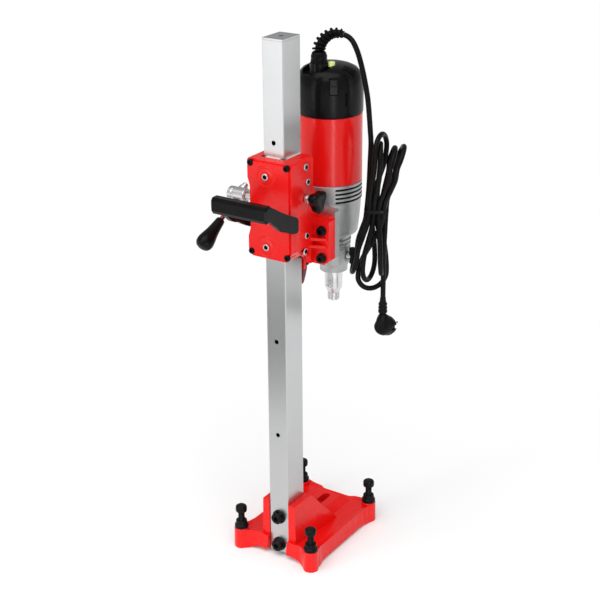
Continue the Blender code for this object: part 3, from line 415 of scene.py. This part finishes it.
CORD_DIAMETER = 0.0096
HANK_MIDDLE = rig(0.108, 0.1377, 0.0)
HANK_TURN = math.radians(30.1)
GLAND_AXIS = rig(-0.007, 0.130, 0.0)
PLUG_ACROSS = 0.0165
TIE_ACROSS, TIE_HALF_WIDTH, TIE_HALF_DEPTH = 0.0022, 0.0222, 0.0094
RELIEF_ROUTE = (
    (-0.007, 0.130, 0.9536), (-0.0066, 0.130, 0.9610), (-0.0015, 0.131, 0.9715),
    (0.0065, 0.1325, 0.9800), (0.017, 0.1345, 0.9865), (0.028, 0.1365, 0.9880), (0.039, 0.139, 0.9860),
)
CORD_ROUTE = (
    (0.0405, 0.1393, 0.98560), (0.0500, 0.1392, 0.9820), (0.0590, 0.1382, 0.9745),
    (0.0680, 0.1365, 0.9610), (0.0745, 0.1358, 0.9455), (0.0810, 0.1352, 0.9253),
    (0.0855, 0.1348, 0.9082), (0.0892, 0.1345, 0.8926), (0.0922, 0.1342, 0.8769),
    (0.0946, 0.1339, 0.8592), (0.0966, 0.1337, 0.8400), (0.0984, 0.1335, 0.8200),
)
HANK_START = (-0.0091, 0.0003, 0.7997)
TIE_HEIGHT = 0.673
# Where the nine runs pass the tie, across and in depth: five behind and four nested in front.
LANES = ((-0.0154, 0.0040), (-0.0110, -0.0040), (-0.0066, 0.0040), (-0.0022, -0.0040), (0.0022, 0.0040),
         (0.0066, -0.0040), (0.0110, 0.0040), (0.0154, -0.0040), (0.0198, 0.0040))
# The folds between them: both legs, across and in depth, the fold's end height and how far it leans.
FOLDS = (
    ((-0.0330, 0.0304), (-0.0330, -0.0304), 0.5560, -0.008),
    ((-0.0015, -0.0285), (0.0190, 0.0285), 0.8155, 0.000),
    ((0.0004, 0.0282), (-0.0215, -0.0282), 0.5400, 0.000),
    ((0.0080, -0.0302), (0.0080, 0.0302), 0.7980, 0.000),
    ((0.0105, 0.0304), (0.0105, -0.0304), 0.5530, 0.002),
    ((0.0250, -0.0308), (0.0250, 0.0308), 0.7905, 0.009),
    ((0.0223, 0.0160), (-0.0300, -0.0110), 0.5210, 0.000),
    ((0.0380, -0.0315), (0.0380, 0.0315), 0.7930, 0.012),
)
TAIL = ((0.0166, -0.0015, 0.590), (0.0165, -0.0008, 0.555), (PLUG_ACROSS, 0.0, 0.525),
        (PLUG_ACROSS, 0.0, 0.500))


def hank_point(across, depth, height):
    """A place measured from the hank's middle, across it and in depth."""
    c, s = math.cos(HANK_TURN), math.sin(HANK_TURN)
    return HANK_MIDDLE + Vector((across * c - depth * s, across * s + depth * c, height))


def fold_points(fold):
    """A half circle from one leg to the other, leaning sideways by a little."""
    (a1, d1), (a2, d2), tip, lean = fold
    radius = math.hypot(a2 - a1, d2 - d1) / 2
    rise = radius if tip > TIE_HEIGHT else -radius
    points = []
    for step in range(7):
        turn = math.pi * step / 6
        share = (1 - math.cos(turn)) / 2
        points.append((a1 + (a2 - a1) * share + lean * math.sin(turn), d1 + (d2 - d1) * share,
                       tip - rise + rise * math.sin(turn)))
    return points


def run_points(start, end):
    """Points between the tie and a fold's shoulder: a run leaves the bundle in depth first,
    then sideways."""
    points = []
    for step in range(1, 4):
        ease = (1 - math.cos(math.pi * step / 4)) / 2
        points.append((start[0] + (end[0] - start[0]) * ease, start[1] + (end[1] - start[1]) * ease ** 0.6,
                       start[2] + (end[2] - start[2]) * step / 4))
    return points


def hank_route():
    """The cord's way through the tie and around every fold, then down to the plug."""
    points = [HANK_START, (-0.0102, 0.0008, 0.765), (-0.0118, 0.0025, 0.720)]
    for i, lane in enumerate(LANES):
        tie = (*lane, TIE_HEIGHT)
        points.append(tie)
        if i < len(FOLDS):
            fold = fold_points(FOLDS[i])
            following = (*LANES[i + 1], TIE_HEIGHT)
            points += run_points(tie, fold[0]) + fold + run_points(following, fold[-1])[::-1]
    points += list(TAIL)
    return [hank_point(*p) for p in points]


def add_cord(plug_pieces):
    """The mains cord as one curve, from the relief boot to the plug."""
    route = [rig(*p) for p in CORD_ROUTE] + hank_route()
    path = smooth_points(route, 5)
    curve = bpy.data.curves.new("mains_cord", "CURVE")
    curve.dimensions = "3D"
    curve.bevel_depth = CORD_DIAMETER / 2
    curve.bevel_resolution = 5
    curve.use_fill_caps = True
    spline = curve.splines.new("POLY")
    spline.points.add(len(path) - 1)
    for point, place in zip(spline.points, path):
        point.co = (*place, 1.0)
    spline.use_smooth = True
    cord = bpy.data.objects.new("mains_cord", curve)
    bpy.context.scene.collection.objects.link(cord)
    cord.data.materials.append(FINISHES["black_rubber"])
    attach(cord, "carriage")
    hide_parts("cord_tube", "cord_hank")


def add_relief():
    """The finned boot and the gland nut where the cord leaves the motor cap."""
    path = smooth_points([rig(*p) for p in RELIEF_ROUTE], 34)

    def radius(share, turn):
        ridge = share * 8.5 - turn / (2 * math.pi)
        rise = min(1.0, max(0.0, 0.30 - math.cos(2 * math.pi * ridge)))
        core = 0.0072 - 0.0014 * share
        crest = 0.0128 - 0.0042 * share
        fade = min(1.0, share * 18, (1 - share) * 12)
        return core + (crest - core) * fade * rise

    dress(swept("relief_boot", path, radius, 40), "carriage", "black_rubber", ["strain_relief"], 0.0)
    base = GLAND_AXIS + Vector((0, 0, 0.926))
    gland = turned("gland_nut", base, UP, (
        (0.0150, 0.0), (0.0150, 0.012), (0.0142, 0.0135), (0.0146, 0.015), (0.0146, 0.020),
        (0.0132, 0.0225), (0.0132, 0.0240), (0.0112, 0.0265), (0.0092, 0.0275)), 48)
    for i in range(12):
        turn = 2 * math.pi * i / 12
        flute = turned("flute", base + Vector((0.0165 * math.cos(turn), 0.0165 * math.sin(turn), 0.001)),
                       UP, ((0.0022, 0.0), (0.0022, 0.0105)), 12)
        combine(gland, flute)
    dress(gland, "carriage", "black_rubber", ["cord_gland"], 0.0003)


def add_tie():
    """A band around the hank, a rounded rectangle with a thin lip."""
    low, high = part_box("cord_tie")
    middle_height = (low.z + high.z) / 2
    outline = []
    for i in range(64):
        turn = 2 * math.pi * i / 64
        reach = (abs(math.cos(turn)) ** 3.0 + abs(math.sin(turn)) ** 3.0) ** (-1 / 3.0)
        outline.append((reach * math.cos(turn), reach * math.sin(turn)))
    rings = []
    for grow, rise in ((-0.0004, -0.0038), (0.0001, -0.0035), (0.0003, -0.0025), (0.0003, 0.0025),
                       (0.0001, 0.0035), (-0.0004, 0.0038), (-0.0008, 0.0030), (-0.0008, -0.0030)):
        width, depth = TIE_HALF_WIDTH + grow, TIE_HALF_DEPTH + grow
        rings.append([hank_point(TIE_ACROSS + a * width, d * depth, middle_height + rise)
                      for a, d in outline])
    return dress(loft("tie_band", rings, closed=True), "carriage", "black_plastic", ["cord_tie"], 0.0)


def add_plug():
    """A round plug with a ribbed sleeve and two pins; gives back its pieces."""
    place = hank_point(PLUG_ACROSS, 0.0, 0.0)
    sleeve = turned("plug_sleeve", place + Vector((0, 0, 0.474)), UP, (
        (0.0086, 0.0), (0.0086, 0.004), (0.0076, 0.005), (0.0076, 0.007), (0.0084, 0.008),
        (0.0084, 0.011), (0.0074, 0.012), (0.0074, 0.014), (0.0082, 0.015), (0.0082, 0.018),
        (0.0066, 0.0195), (0.0058, 0.024), (0.0053, 0.0300)), 40)
    dress(sleeve, "carriage", "black_rubber", [], 0.0003)

    face_centre = place + Vector((0.003, 0.0, 0.444))
    rings = []
    for y, radius, lift in ((-0.0165, 0.0080, 0.003), (-0.0155, 0.0115, 0.003), (-0.0125, 0.0140, 0.003),
                            (-0.0080, 0.0158, 0.002), (0.0000, 0.0172, 0.001), (0.0060, 0.0182, 0.0),
                            (0.0065, 0.0190, 0.0), (0.0150, 0.0190, 0.0), (0.0160, 0.0180, 0.0)):
        ring = []
        for i in range(72):
            turn = 2 * math.pi * i / 72
            neck = max(0.0, math.sin(turn)) ** 6 * max(0.0, 1.0 - abs(y + 0.003) / 0.014)
            reach = radius * (1.0 + 0.95 * neck)
            ring.append(face_centre + Vector((reach * math.cos(turn) - 0.003 * neck, y,
                                              lift + reach * math.sin(turn))))
        rings.append(ring)
    body = loft("plug_body", rings)
    hollow_start = face_centre + Vector((0, 0.0145, 0))
    hollow = turned("hollow", hollow_start, BACK, ((0.0168, 0.0), (0.0168, 0.01)), 64)
    combine(body, hollow)
    for side in (-1, 1):
        groove = box("groove", face_centre + Vector((side * 0.0180 - 0.0025, 0.000, -0.004)),
                     face_centre + Vector((side * 0.0180 + 0.0025, 0.030, 0.004)))
        combine(body, groove)
    dress(body, "carriage", "black_rubber", ["plug"], 0.0006)
    pieces = [sleeve, body]
    for name, side in (("plug_pin_left", -1), ("plug_pin_right", 1)):
        pin = turned(name, face_centre + Vector((side * 0.0095, 0.010, 0)), BACK,
                     ((0.0024, 0.0), (0.0024, 0.0235), (0.0019, 0.0246), (0.0009, 0.0250)), 24)
        pieces.append(dress(pin, "carriage", "steel", [], 0.0))
    return pieces


# ---------------------------------------------------------------- fasteners

HEX = 6


def socket_bolt(name, face, outward, head, shank, body, slot="black_screw", nodes=(), socket=0.0,
                flange=0.0):
    """A round-headed bolt: head and shank are (radius, length); the socket is its hexagon's radius."""
    radius, height = head
    profile = [(shank[0], -shank[1]), (shank[0], 0.0)]
    if flange:
        profile += [(flange, 0.0), (flange, 0.0014), (radius, 0.0030)]
    else:
        profile += [(radius, 0.0)]
    profile += [(radius, height * 0.72), (radius * 0.96, height * 0.88), (radius * 0.86, height)]
    bolt = turned(name, face, outward, profile, 48)
    if socket:
        recess = turned("recess", face, outward, ((socket, height * 0.35), (socket, height * 1.4)), HEX)
        combine(bolt, recess)
    return dress(bolt, body, slot, nodes, 0.0003)


def add_cover_fasteners():
    """Cover screws, adjusters and the bolts of the mounting plate."""
    for i in range(1, 5):
        node = f"cover_screw_{i}"
        centre = middle(node)
        face = Vector((centre.x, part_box("front_cover")[0][1] + 0.0028, centre.z))
        socket_bolt(f"cover_cap_screw_{i}", face, FRONT, (0.0058, 0.0050), (0.0024, 0.022), "carriage",
                    nodes=[node], socket=0.0028)
    for where in ("upper", "lower"):
        node = "front_adjuster_" + where
        centre = middle(node)
        face = Vector((centre.x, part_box("front_cover")[0][1] - 0.0003, centre.z))
        add_adjuster(node, face, FRONT)
    for i in range(1, 5):
        node = f"side_adjuster_{i}"
        centre = middle(node)
        add_adjuster(node, Vector((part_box("front_cover")[1][0] + 0.0003, centre.y, centre.z)), RIGHT)
    for i in range(1, 5):
        node = f"mounting_bolt_{i}"
        low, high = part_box(node)
        face = Vector(((low[0] + high[0]) / 2, rig(0, 0.0237, 0).y, (low[2] + high[2]) / 2))
        socket_bolt(f"flange_bolt_{i}", face, FRONT, (0.0078, 0.0095), (0.0040, 0.030), "carriage",
                    nodes=[node], socket=0.0036, flange=0.0094)


def add_adjuster(node, face, outward):
    """A set screw with a bright lock ring around it."""
    ring = turned(node + "_ring", face, outward, (
        (0.0040, 0.0), (0.0062, 0.0), (0.0062, 0.0014), (0.0056, 0.0020),
        (0.0040, 0.0020)), 48, bored=True)
    dress(ring, "carriage", "steel", [], 0.0002)
    stud = turned(node + "_stud", face, outward, ((0.0036, -0.020), (0.0036, 0.0024), (0.0031, 0.0031)), 40)
    recess = turned("recess", face, outward, ((0.0021, 0.0002), (0.0021, 0.0100)), HEX)
    combine(stud, recess)
    dress(stud, "carriage", "black_screw", [node], 0.0001)


def add_column_bolts():
    """Two bolts at the foot of the column; the upper one has a lobed head."""
    face_y = COLUMN_LOW.y - 0.0003
    for name, nodes_lobes in (("column_bolt_lower", 0), ("column_bolt_upper", 6)):
        centre = middle(name)
        face = Vector((centre.x, face_y, centre.z))
        bolt = turned(name + "_head", face, FRONT, (
            (0.0050, -0.040), (0.0050, 0.0), (0.0139, 0.0), (0.0139, 0.0018), (0.0124, 0.0030),
            (0.0118, 0.0075), (0.0112, 0.0105), (0.0092, 0.0122)), 72)
        recess = turned("recess", face, FRONT, ((0.0052, 0.0060), (0.0052, 0.020)), HEX)
        combine(bolt, recess)
        for i in range(nodes_lobes):
            turn = 2 * math.pi * (i + 0.5) / nodes_lobes
            notch_start = face + Vector((0.0142 * math.cos(turn), -0.0035, 0.0142 * math.sin(turn)))
            notch = turned("notch", notch_start, FRONT, ((0.0042, 0.0), (0.0042, 0.015)), 24)
            combine(bolt, notch)
        dress(bolt, "stand", "black_screw", [name], 0.0003)


def add_levelling_feet():
    """Threaded hexagon screws, each through a round lock nut."""
    for corner in ("front_left", "front_right", "rear_left", "rear_right"):
        node = "levelling_screw_" + corner
        low, high = (Vector(c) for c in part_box(node))
        axis = Vector(((low.x + high.x) / 2, (low.y + high.y) / 2, 0.0))
        pitch = 0.00175
        profile = [(0.0045, low.z), (0.0058, low.z + 0.003)]
        height = low.z + 0.004
        while height < 0.0745:
            profile += [(0.0064, height), (0.0057, height + pitch / 2)]
            height += pitch
        profile += [(0.0064, 0.0755), (0.0102, 0.0758), (0.0110, 0.0775), (0.0110, 0.0850), (0.0102, 0.0872),
                    (0.0080, high.z - 0.0003)]
        screw = turned("foot_screw_" + corner, axis, UP, profile, 48)
        for i in range(HEX):
            turn = 2 * math.pi * i / HEX + 0.35
            outward = Vector((math.cos(turn), math.sin(turn), 0.0))
            outline = ((-0.02, 0.0762), (0.02, 0.0762), (0.02, 0.1), (-0.02, 0.1))
            flat = extruded("flat", axis + outward * 0.0098, outward, outline, 0.0, 0.01)
            combine(screw, flat)
        dress(screw, node, "black_screw", [node], 0.0002)
        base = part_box("lock_nut_" + corner)[0][2]
        nut = turned("foot_nut_" + corner, axis + Vector((0, 0, base)), UP, (
            (0.0068, 0.0), (0.0128, 0.0), (0.0135, 0.0008), (0.0135, 0.0058), (0.0129, 0.0068),
            (0.0114, 0.0085), (0.0106, 0.0150), (0.0098, 0.0158), (0.0068, 0.0158)), 60, bored=True)
        dress(nut, "stand", "black_screw", ["lock_nut_" + corner], 0.0003)


# ---------------------------------------------------------------- carriage details

def add_cover_bosses():
    """Low turned rings that are cast into the front cover around its two adjusters."""
    face_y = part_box("front_cover")[0][1]
    for where in ("upper", "lower"):
        centre = middle("front_adjuster_" + where)
        ring = turned("cover_boss_" + where, Vector((centre.x, face_y + 0.0006, centre.z)), FRONT, (
            (0.0082, 0.0), (0.0092, 0.0010), (0.0125, 0.0011), (0.0138, 0.0007), (0.0160, 0.0007),
            (0.0172, 0.0014), (0.0192, 0.0013), (0.0205, 0.0)), 72, bored=True)
        dress(ring, "carriage", "red_paint", [], 0.0002)


def add_clamp_knob():
    """A three-lobed knob on its screw and collar."""
    low, high = (Vector(c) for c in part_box("clamp_knob"))
    axis = Vector((0.0, rig(0, -0.004, 0).y, 0.726))
    start = rig(0.0605, 0, 0).x
    rings = []
    for distance, scale in ((0.0, 0.55), (0.0006, 0.60), (0.0040, 0.66), (0.0065, 0.92), (0.0085, 1.0),
                            (0.0180, 1.0), (0.0205, 0.97), (0.0225, 0.86), (0.0232, 0.62),
                            (0.0226, 0.40)):
        ring = []
        for i in range(96):
            turn = 2 * math.pi * i / 96
            lobes = 0.0172 + 0.0042 * math.cos(3 * (turn + math.pi / 2))
            ring.append(axis + Vector((start + distance, lobes * scale * math.cos(turn),
                                       lobes * scale * math.sin(turn))))
        rings.append(ring)
    knob = loft("knob_head", rings)
    dress(knob, "clamp_knob", "black_plastic", ["clamp_knob"], 0.0)
    shank = turned("knob_screw", Vector((low.x, axis.y, axis.z)), RIGHT, (
        (0.0048, 0.0), (0.0048, 0.034), (0.0048, 0.0355)), 40)
    dress(shank, "clamp_knob", "steel", [], 0.0003)
    collar = turned("knob_collar", Vector((rig(0.0510, 0, 0).x, axis.y, axis.z)), RIGHT, (
        (0.0050, 0.0), (0.0078, 0.0), (0.0078, 0.0070), (0.0070, 0.0085),
        (0.0050, 0.0085)), 48, bored=True)
    dress(collar, "clamp_knob", "steel", [], 0.0003)


def add_lock_lever():
    """A tapered lever on a pivot below the carriage."""
    pivot = rig(0.014, 0.046, 0.585)
    hub = turned("lever_hub", pivot + Vector((0, -0.0067, 0)), BACK, (
        (0.0068, 0.0), (0.0083, 0.0012), (0.0085, 0.0030), (0.0085, 0.0110), (0.0078, 0.0128),
        (0.0055, 0.0142)), 48)
    dress(hub, "lock_lever", "black_plastic", [], 0.0003)
    pin = turned("lever_pin", pivot + Vector((0, -0.0135, 0)), BACK, ((0.0038, 0.0), (0.0038, 0.0080)), 32)
    dress(pin, "lock_lever", "steel", [], 0.0)
    ahead = Vector((-0.006, 0.0, -0.044)).normalized()
    arm = turned("lever_arm", pivot + ahead * 0.006, ahead, (
        (0.0052, 0.0), (0.0060, 0.003), (0.0062, 0.008), (0.0056, 0.018), (0.0046, 0.028),
        (0.0038, 0.034), (0.0026, 0.0375), (0.0010, 0.0388)), 40)
    dress(arm, "lock_lever", "maroon", ["lock_lever"], 0.0)


def add_feed_crank():
    """The crank's hub on the pinion shaft, its rod and the pear-shaped grip."""
    shaft_low, shaft_high = (Vector(c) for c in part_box("pinion_shaft"))
    hub_low, hub_high = (Vector(c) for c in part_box("crank_hub"))
    axis = Vector((0.0, (shaft_low.y + shaft_high.y) / 2, 0.688))
    width = hub_high.x - hub_low.x
    hub = turned("crank_boss", Vector((hub_low.x, axis.y, axis.z)), RIGHT, (
        (0.0128, 0.0), (0.0140, 0.0014), (0.0140, 0.0085), (0.0130, 0.0095), (0.0130, 0.0110),
        (0.0140, 0.0120), (0.0140, width - 0.0014), (0.0128, width)), 64)
    bore_start = Vector((hub_low.x - 0.01, axis.y, axis.z))
    bore = turned("bore", bore_start, RIGHT, ((0.0078, 0.0), (0.0078, 0.08)), 40)
    combine(hub, bore)
    dress(hub, "feed_crank", "steel", ["crank_hub"], 0.0004)
    ahead = Vector((0.0, -0.871, -0.491)).normalized()
    centre = Vector((rig(-0.130, 0, 0).x, axis.y, axis.z))
    rod = turned("crank_rod", centre + ahead * 0.0115, ahead, ((0.0044, 0.0), (0.0044, 0.0548)), 40)
    dress(rod, "feed_crank", "maroon", [], 0.0)
    end = turned("crank_end_nut", centre - ahead * 0.0105, -ahead, (
        (0.0088, 0.0), (0.0088, 0.0060), (0.0076, 0.0070), (0.0076, 0.0095), (0.0060, 0.0102),
        (0.0060, 0.0150), (0.0050, 0.0162)), 48)
    dress(end, "feed_crank", "steel", [], 0.0003)
    grip_start = centre + ahead * 0.0663
    profile = (
        (0.0060, 0.0), (0.0078, 0.0008), (0.0086, 0.0030), (0.0094, 0.0120), (0.0108, 0.0240),
        (0.0126, 0.0350), (0.0148, 0.0450), (0.0161, 0.0520), (0.0164, 0.0570), (0.0156, 0.0620),
        (0.0132, 0.0660), (0.0090, 0.0685), (0.0035, 0.0694))
    grip = turned("crank_handle", grip_start, ahead, profile, 64)
    dress(grip, "feed_crank", "black_plastic", ["crank_grip"], 0.0)


# ---------------------------------------------------------------- motor and gearbox

MOTOR_AXIS = rig(0.0, 0.155, 0.0)
SPINDLE_AXIS = rig(0.0, 0.169, 0.0)
SWITCH_ANGLE = math.radians(-51.4)
LEVEL_AXIS = rig(0.013, 0.140, 0.0)
CAP_SLOT_ANGLES = (-29.6, 30.0, 90.0, 150.0)
CASING_SLOT_HEIGHTS = (0.7060, 0.6982, 0.6904, 0.6826)
NECK_SCREW_HEIGHT = 0.6040


def around(axis, angle, radius, height):
    return axis + Vector((radius * math.cos(angle), radius * math.sin(angle), height))


def add_motor_shell():
    shell = turned("motor_tube", MOTOR_AXIS, UP, (
        (0.0570, 0.7133), (0.0588, 0.7133), (0.0598, 0.7141), (0.0598, 0.8389), (0.0590, 0.8397),
        (0.0570, 0.8397)),
        128, bored=True)
    dress(shell, "carriage", "red_paint", ["motor_housing"], 0.0)


def add_motor_cap():
    """The motor's hood with its gland seat, level seat, switch well, slots and vents."""
    outer = [(0.0598, 0.8400), (0.0606, 0.8408), (0.0611, 0.8430), (0.0612, 0.8700), (0.0610, 0.8850),
             (0.0600, 0.8960), (0.0578, 0.9060), (0.0544, 0.9140), (0.0490, 0.9200), (0.0400, 0.9246),
             (0.0300, 0.9275), (0.0180, 0.9296), (0.0050, 0.9303)]
    inner = [(0.0050, 0.9040), (0.0400, 0.9040), (0.0500, 0.8960), (0.0560, 0.8830), (0.0570, 0.8700),
             (0.0570, 0.8400)]
    cap = turned("motor_hood", MOTOR_AXIS, UP, outer + inner, 128, bored=True)
    combine(cap, turned("platform", rig(-0.009, 0.128, 0.0), UP, ((0.0265, 0.9135), (0.0300, 0.9600)), 96))
    gland_base = turned("gland_base", GLAND_AXIS, UP, (
        (0.0195, 0.9080), (0.0190, 0.9160), (0.0178, 0.9175), (0.0168, 0.9210), (0.0166, 0.9330)), 64)
    combine(cap, gland_base, "UNION")
    seat = turned("seat", GLAND_AXIS, UP, ((0.0152, 0.9258), (0.0152, 0.9500)), 48)
    combine(cap, seat)
    level_seat = turned("seat", LEVEL_AXIS, UP, ((0.0067, 0.9255), (0.0067, 0.9500)), 48)
    combine(cap, level_seat)
    turn = Matrix.Translation(MOTOR_AXIS) @ Matrix.Rotation(SWITCH_ANGLE, 4, "Z")
    combine(cap, box("switch_well", (0.0520, -0.0078, 0.8832), (0.0700, 0.0078, 0.9128), turn))
    for angle in CAP_SLOT_ANGLES:
        slot_turn = Matrix.Translation(MOTOR_AXIS) @ Matrix.Rotation(math.radians(angle), 4, "Z")
        combine(cap, box("slot", (0.0580, -0.0013, 0.8610), (0.0700, 0.0013, 0.8860), slot_turn))
    for angle in (-8.0, 172.0):
        vent_turn = (Matrix.Translation(MOTOR_AXIS) @ Matrix.Rotation(math.radians(angle), 4, "Z")
                     @ Matrix.Translation((0.0435, 0.0, 0.9185)) @ Matrix.Rotation(math.radians(38), 4, "Y")
                     @ Matrix.Rotation(math.radians(28), 4, "Z"))
        for middle_y in (-0.0064, 0.0, 0.0064):
            low, high = (-0.0120, middle_y - 0.0016, -0.0045), (0.0120, middle_y + 0.0016, 0.02)
            combine(cap, box("vent", low, high, vent_turn))
    dress(cap, "carriage", "black_plastic", ["motor_cap"], 0.0005)
    rocker = box("switch_rocker", (0.0535, -0.0070, 0.8842), (0.0608, 0.0070, 0.9118), turn)
    combine(rocker, box("dip", (0.0598, -0.0052, 0.8990), (0.0700, 0.0052, 0.9100), turn))
    dress(rocker, "power_switch", "black_plastic", ["power_switch"], 0.0006)


def add_level():
    """A small round level window in the cap."""
    centre = LEVEL_AXIS + Vector((0, 0, 0.9262))
    rim = turned("level_rim", centre, UP, (
        (0.0052, 0.0), (0.0064, 0.0), (0.0064, 0.0078), (0.0060, 0.0084),
        (0.0052, 0.0084)), 48, bored=True)
    dress(rim, "carriage", "level_glass", [], 0.0002)
    dome = turned("level_dome", centre, UP, (
        (0.0050, 0.0), (0.0050, 0.0078), (0.0042, 0.0087), (0.0025, 0.0091), (0.0008, 0.0092)), 48)
    dress(dome, "carriage", "level_glass", ["bubble_level"], 0.0)


def add_gearbox():
    """The casing around the gears, with slots over a black sheet that paints the shade inside them, and the
    ribbed neck.
    """
    box_profile = [(0.0565, 0.7130), (0.0590, 0.7130), (0.0598, 0.7122), (0.0598, 0.6806), (0.0592, 0.6792),
                   (0.0582, 0.6780), (0.0576, 0.6660), (0.0556, 0.6420), (0.0536, 0.6230),
                   (0.0524, 0.6150), (0.0500, 0.6116), (0.0470, 0.6110), (0.0030, 0.6110),
                   (0.0030, 0.6180), (0.0470, 0.6180), (0.0480, 0.6480), (0.0550, 0.6520)]
    casing = turned("gear_casing", MOTOR_AXIS, UP, box_profile, 128, bored=True)
    neck = turned("neck", SPINDLE_AXIS, UP, (
        (0.0335, 0.6140), (0.0315, 0.6095), (0.0298, 0.6080), (0.0298, 0.6035), (0.0312, 0.6025),
        (0.0330, 0.6015), (0.0330, 0.5985), (0.0300, 0.5970), (0.0300, 0.5945), (0.0330, 0.5930),
        (0.0330, 0.5900), (0.0300, 0.5885), (0.0300, 0.5860), (0.0322, 0.5845), (0.0322, 0.5815),
        (0.0305, 0.5800), (0.0305, 0.5775), (0.0320, 0.5760), (0.0320, 0.5480), (0.0300, 0.5440),
        (0.0272, 0.5395), (0.0265, 0.5360), (0.0264, 0.5290)), 96)
    combine(casing, neck, "UNION")
    foot_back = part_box("motor_foot")[1][1]
    arm_low = (rig(-0.038, 0, 0).x, foot_back + 0.0003, 0.620)
    arm_high = (rig(0.038, 0, 0).x, rig(0, 0.112, 0).y, 0.655)
    arm = box("arm", arm_low, arm_high)
    combine(casing, arm, "UNION")
    combine(casing, turned("bore", SPINDLE_AXIS, UP, ((0.0168, 0.5560), (0.0168, 0.6300)), 48))
    combine(casing, turned("bore", SPINDLE_AXIS, UP, ((0.0090, 0.5200), (0.0090, 0.6300)), 48))
    for height in CASING_SLOT_HEIGHTS:
        for start, end in ((-48, 38), (142, 228)):
            rings = []
            for i in range(25):
                angle = math.radians(start + (end - start) * i / 24)
                rings.append([around(MOTOR_AXIS, angle, r, height + h) for r, h in (
                    (0.0560, -0.0020), (0.0640, -0.0020), (0.0640, 0.0020), (0.0560, 0.0020))])
            combine(casing, loft("slot", rings))
    dress(casing, "carriage", "cast_aluminium", ["gearbox_housing"], 0.0005)
    # A thin black sheet just inside the casing: painted shade that makes the slots read dark.
    shade_liner = turned("slot_shade_liner", MOTOR_AXIS, UP, (
        (0.0560, 0.6780), (0.0569, 0.6780), (0.0569, 0.7100), (0.0560, 0.7100)), 96, bored=True)
    dress(shade_liner, "carriage", "black_plastic", [], 0.0)
    for i, angle in enumerate((-10, 100, 190), 1):
        outward = Vector((math.cos(math.radians(angle)), math.sin(math.radians(angle)), 0.0))
        face = SPINDLE_AXIS + outward * 0.0296 + Vector((0, 0, NECK_SCREW_HEIGHT))
        socket_bolt(f"neck_screw_{i}", face, outward, (0.0028, 0.0026), (0.0012, 0.004), "carriage",
                    socket=0.0014)


def add_water_fitting():
    centre = rig(0.0325, 0.169, 0.562)
    stub = turned("water_stub", centre, RIGHT, (
        (0.0078, 0.0), (0.0078, 0.0030), (0.0066, 0.0038), (0.0066, 0.0080)), 48)
    dress(stub, "carriage", "steel", [], 0.0003)
    valve = turned("water_valve", rig(0.0415, 0.169, 0.0), UP, (
        (0.0044, 0.5472), (0.0058, 0.5480), (0.0058, 0.5520), (0.0050, 0.5530), (0.0050, 0.5550),
        (0.0064, 0.5560), (0.0064, 0.5700), (0.0056, 0.5712), (0.0056, 0.5730), (0.0062, 0.5738),
        (0.0062, 0.5780), (0.0046, 0.5788)), 48)
    dress(valve, "carriage", "black_plastic", ["water_fitting"], 0.0003)


def add_spindle():
    """The spindle's nose with two flats, a thread and an open mouth."""
    profile = [(0.0080, 0.6470), (0.0080, 0.5288), (0.0158, 0.5286), (0.0170, 0.5276), (0.0170, 0.4950),
               (0.0166, 0.4930), (0.0118, 0.4838)]
    height = 0.4830
    while height > 0.4690:
        profile += [(0.0114, height), (0.0109, height - 0.0008)]
        height -= 0.0016
    profile += [(0.0112, 0.4680), (0.0102, 0.4667)]
    nose = turned("spindle_nose", SPINDLE_AXIS, UP, profile, 96)
    for side in (-1, 1):
        low = SPINDLE_AXIS + Vector((-0.02, min(side * 0.0148, side * 0.03), 0.4980))
        high = SPINDLE_AXIS + Vector((0.02, max(side * 0.0148, side * 0.03), 0.5200))
        combine(nose, box("flat", low, high))
    combine(nose, turned("mouth", SPINDLE_AXIS, UP, ((0.0062, 0.4600), (0.0062, 0.4720)), 40))
    dress(nose, "spindle", "steel", ["spindle"], 0.0003)


# ---------------------------------------------------------------- the whole rig

EDGE_WIDTHS = {
    "base_casting": 0.0016, "carriage_body": 0.0011, "front_cover": 0.0008, "carry_handle": 0.0030,
    "motor_foot": 0.0012, "column_tube": 0.0006, "column_top_cap": 0.0005,
}


def dress_cad_nodes():
    """Finishes for the CAD nodes, with rounded edges on the castings."""
    slots = {part["node"]: part["material_slot"] for part in frame["record"]["subparts"]}
    for node, thing in frame["nodes"].items():
        thing.data.materials.clear()
        thing.data.materials.append(FINISHES[slots[node]])
        if node in EDGE_WIDTHS:
            modifier = thing.modifiers.new("round_edges", "BEVEL")
            modifier.width = EDGE_WIDTHS[node]
            modifier.segments = 3
            modifier.limit_method = "ANGLE"
            modifier.angle_limit = math.radians(30)
            smooth = thing.modifiers.new("weighted_normals", "WEIGHTED_NORMAL")
            smooth.keep_sharp = False


def main():
    add_camera()
    add_studio()
    dress_cad_nodes()
    add_cord(add_plug() + [add_tie()])
    add_relief()
    add_cover_fasteners()
    add_column_bolts()
    add_levelling_feet()
    add_cover_bosses()
    add_clamp_knob()
    add_lock_lever()
    add_feed_crank()
    add_motor_shell()
    add_motor_cap()
    add_level()
    add_gearbox()
    add_water_fitting()
    add_spindle()


main()
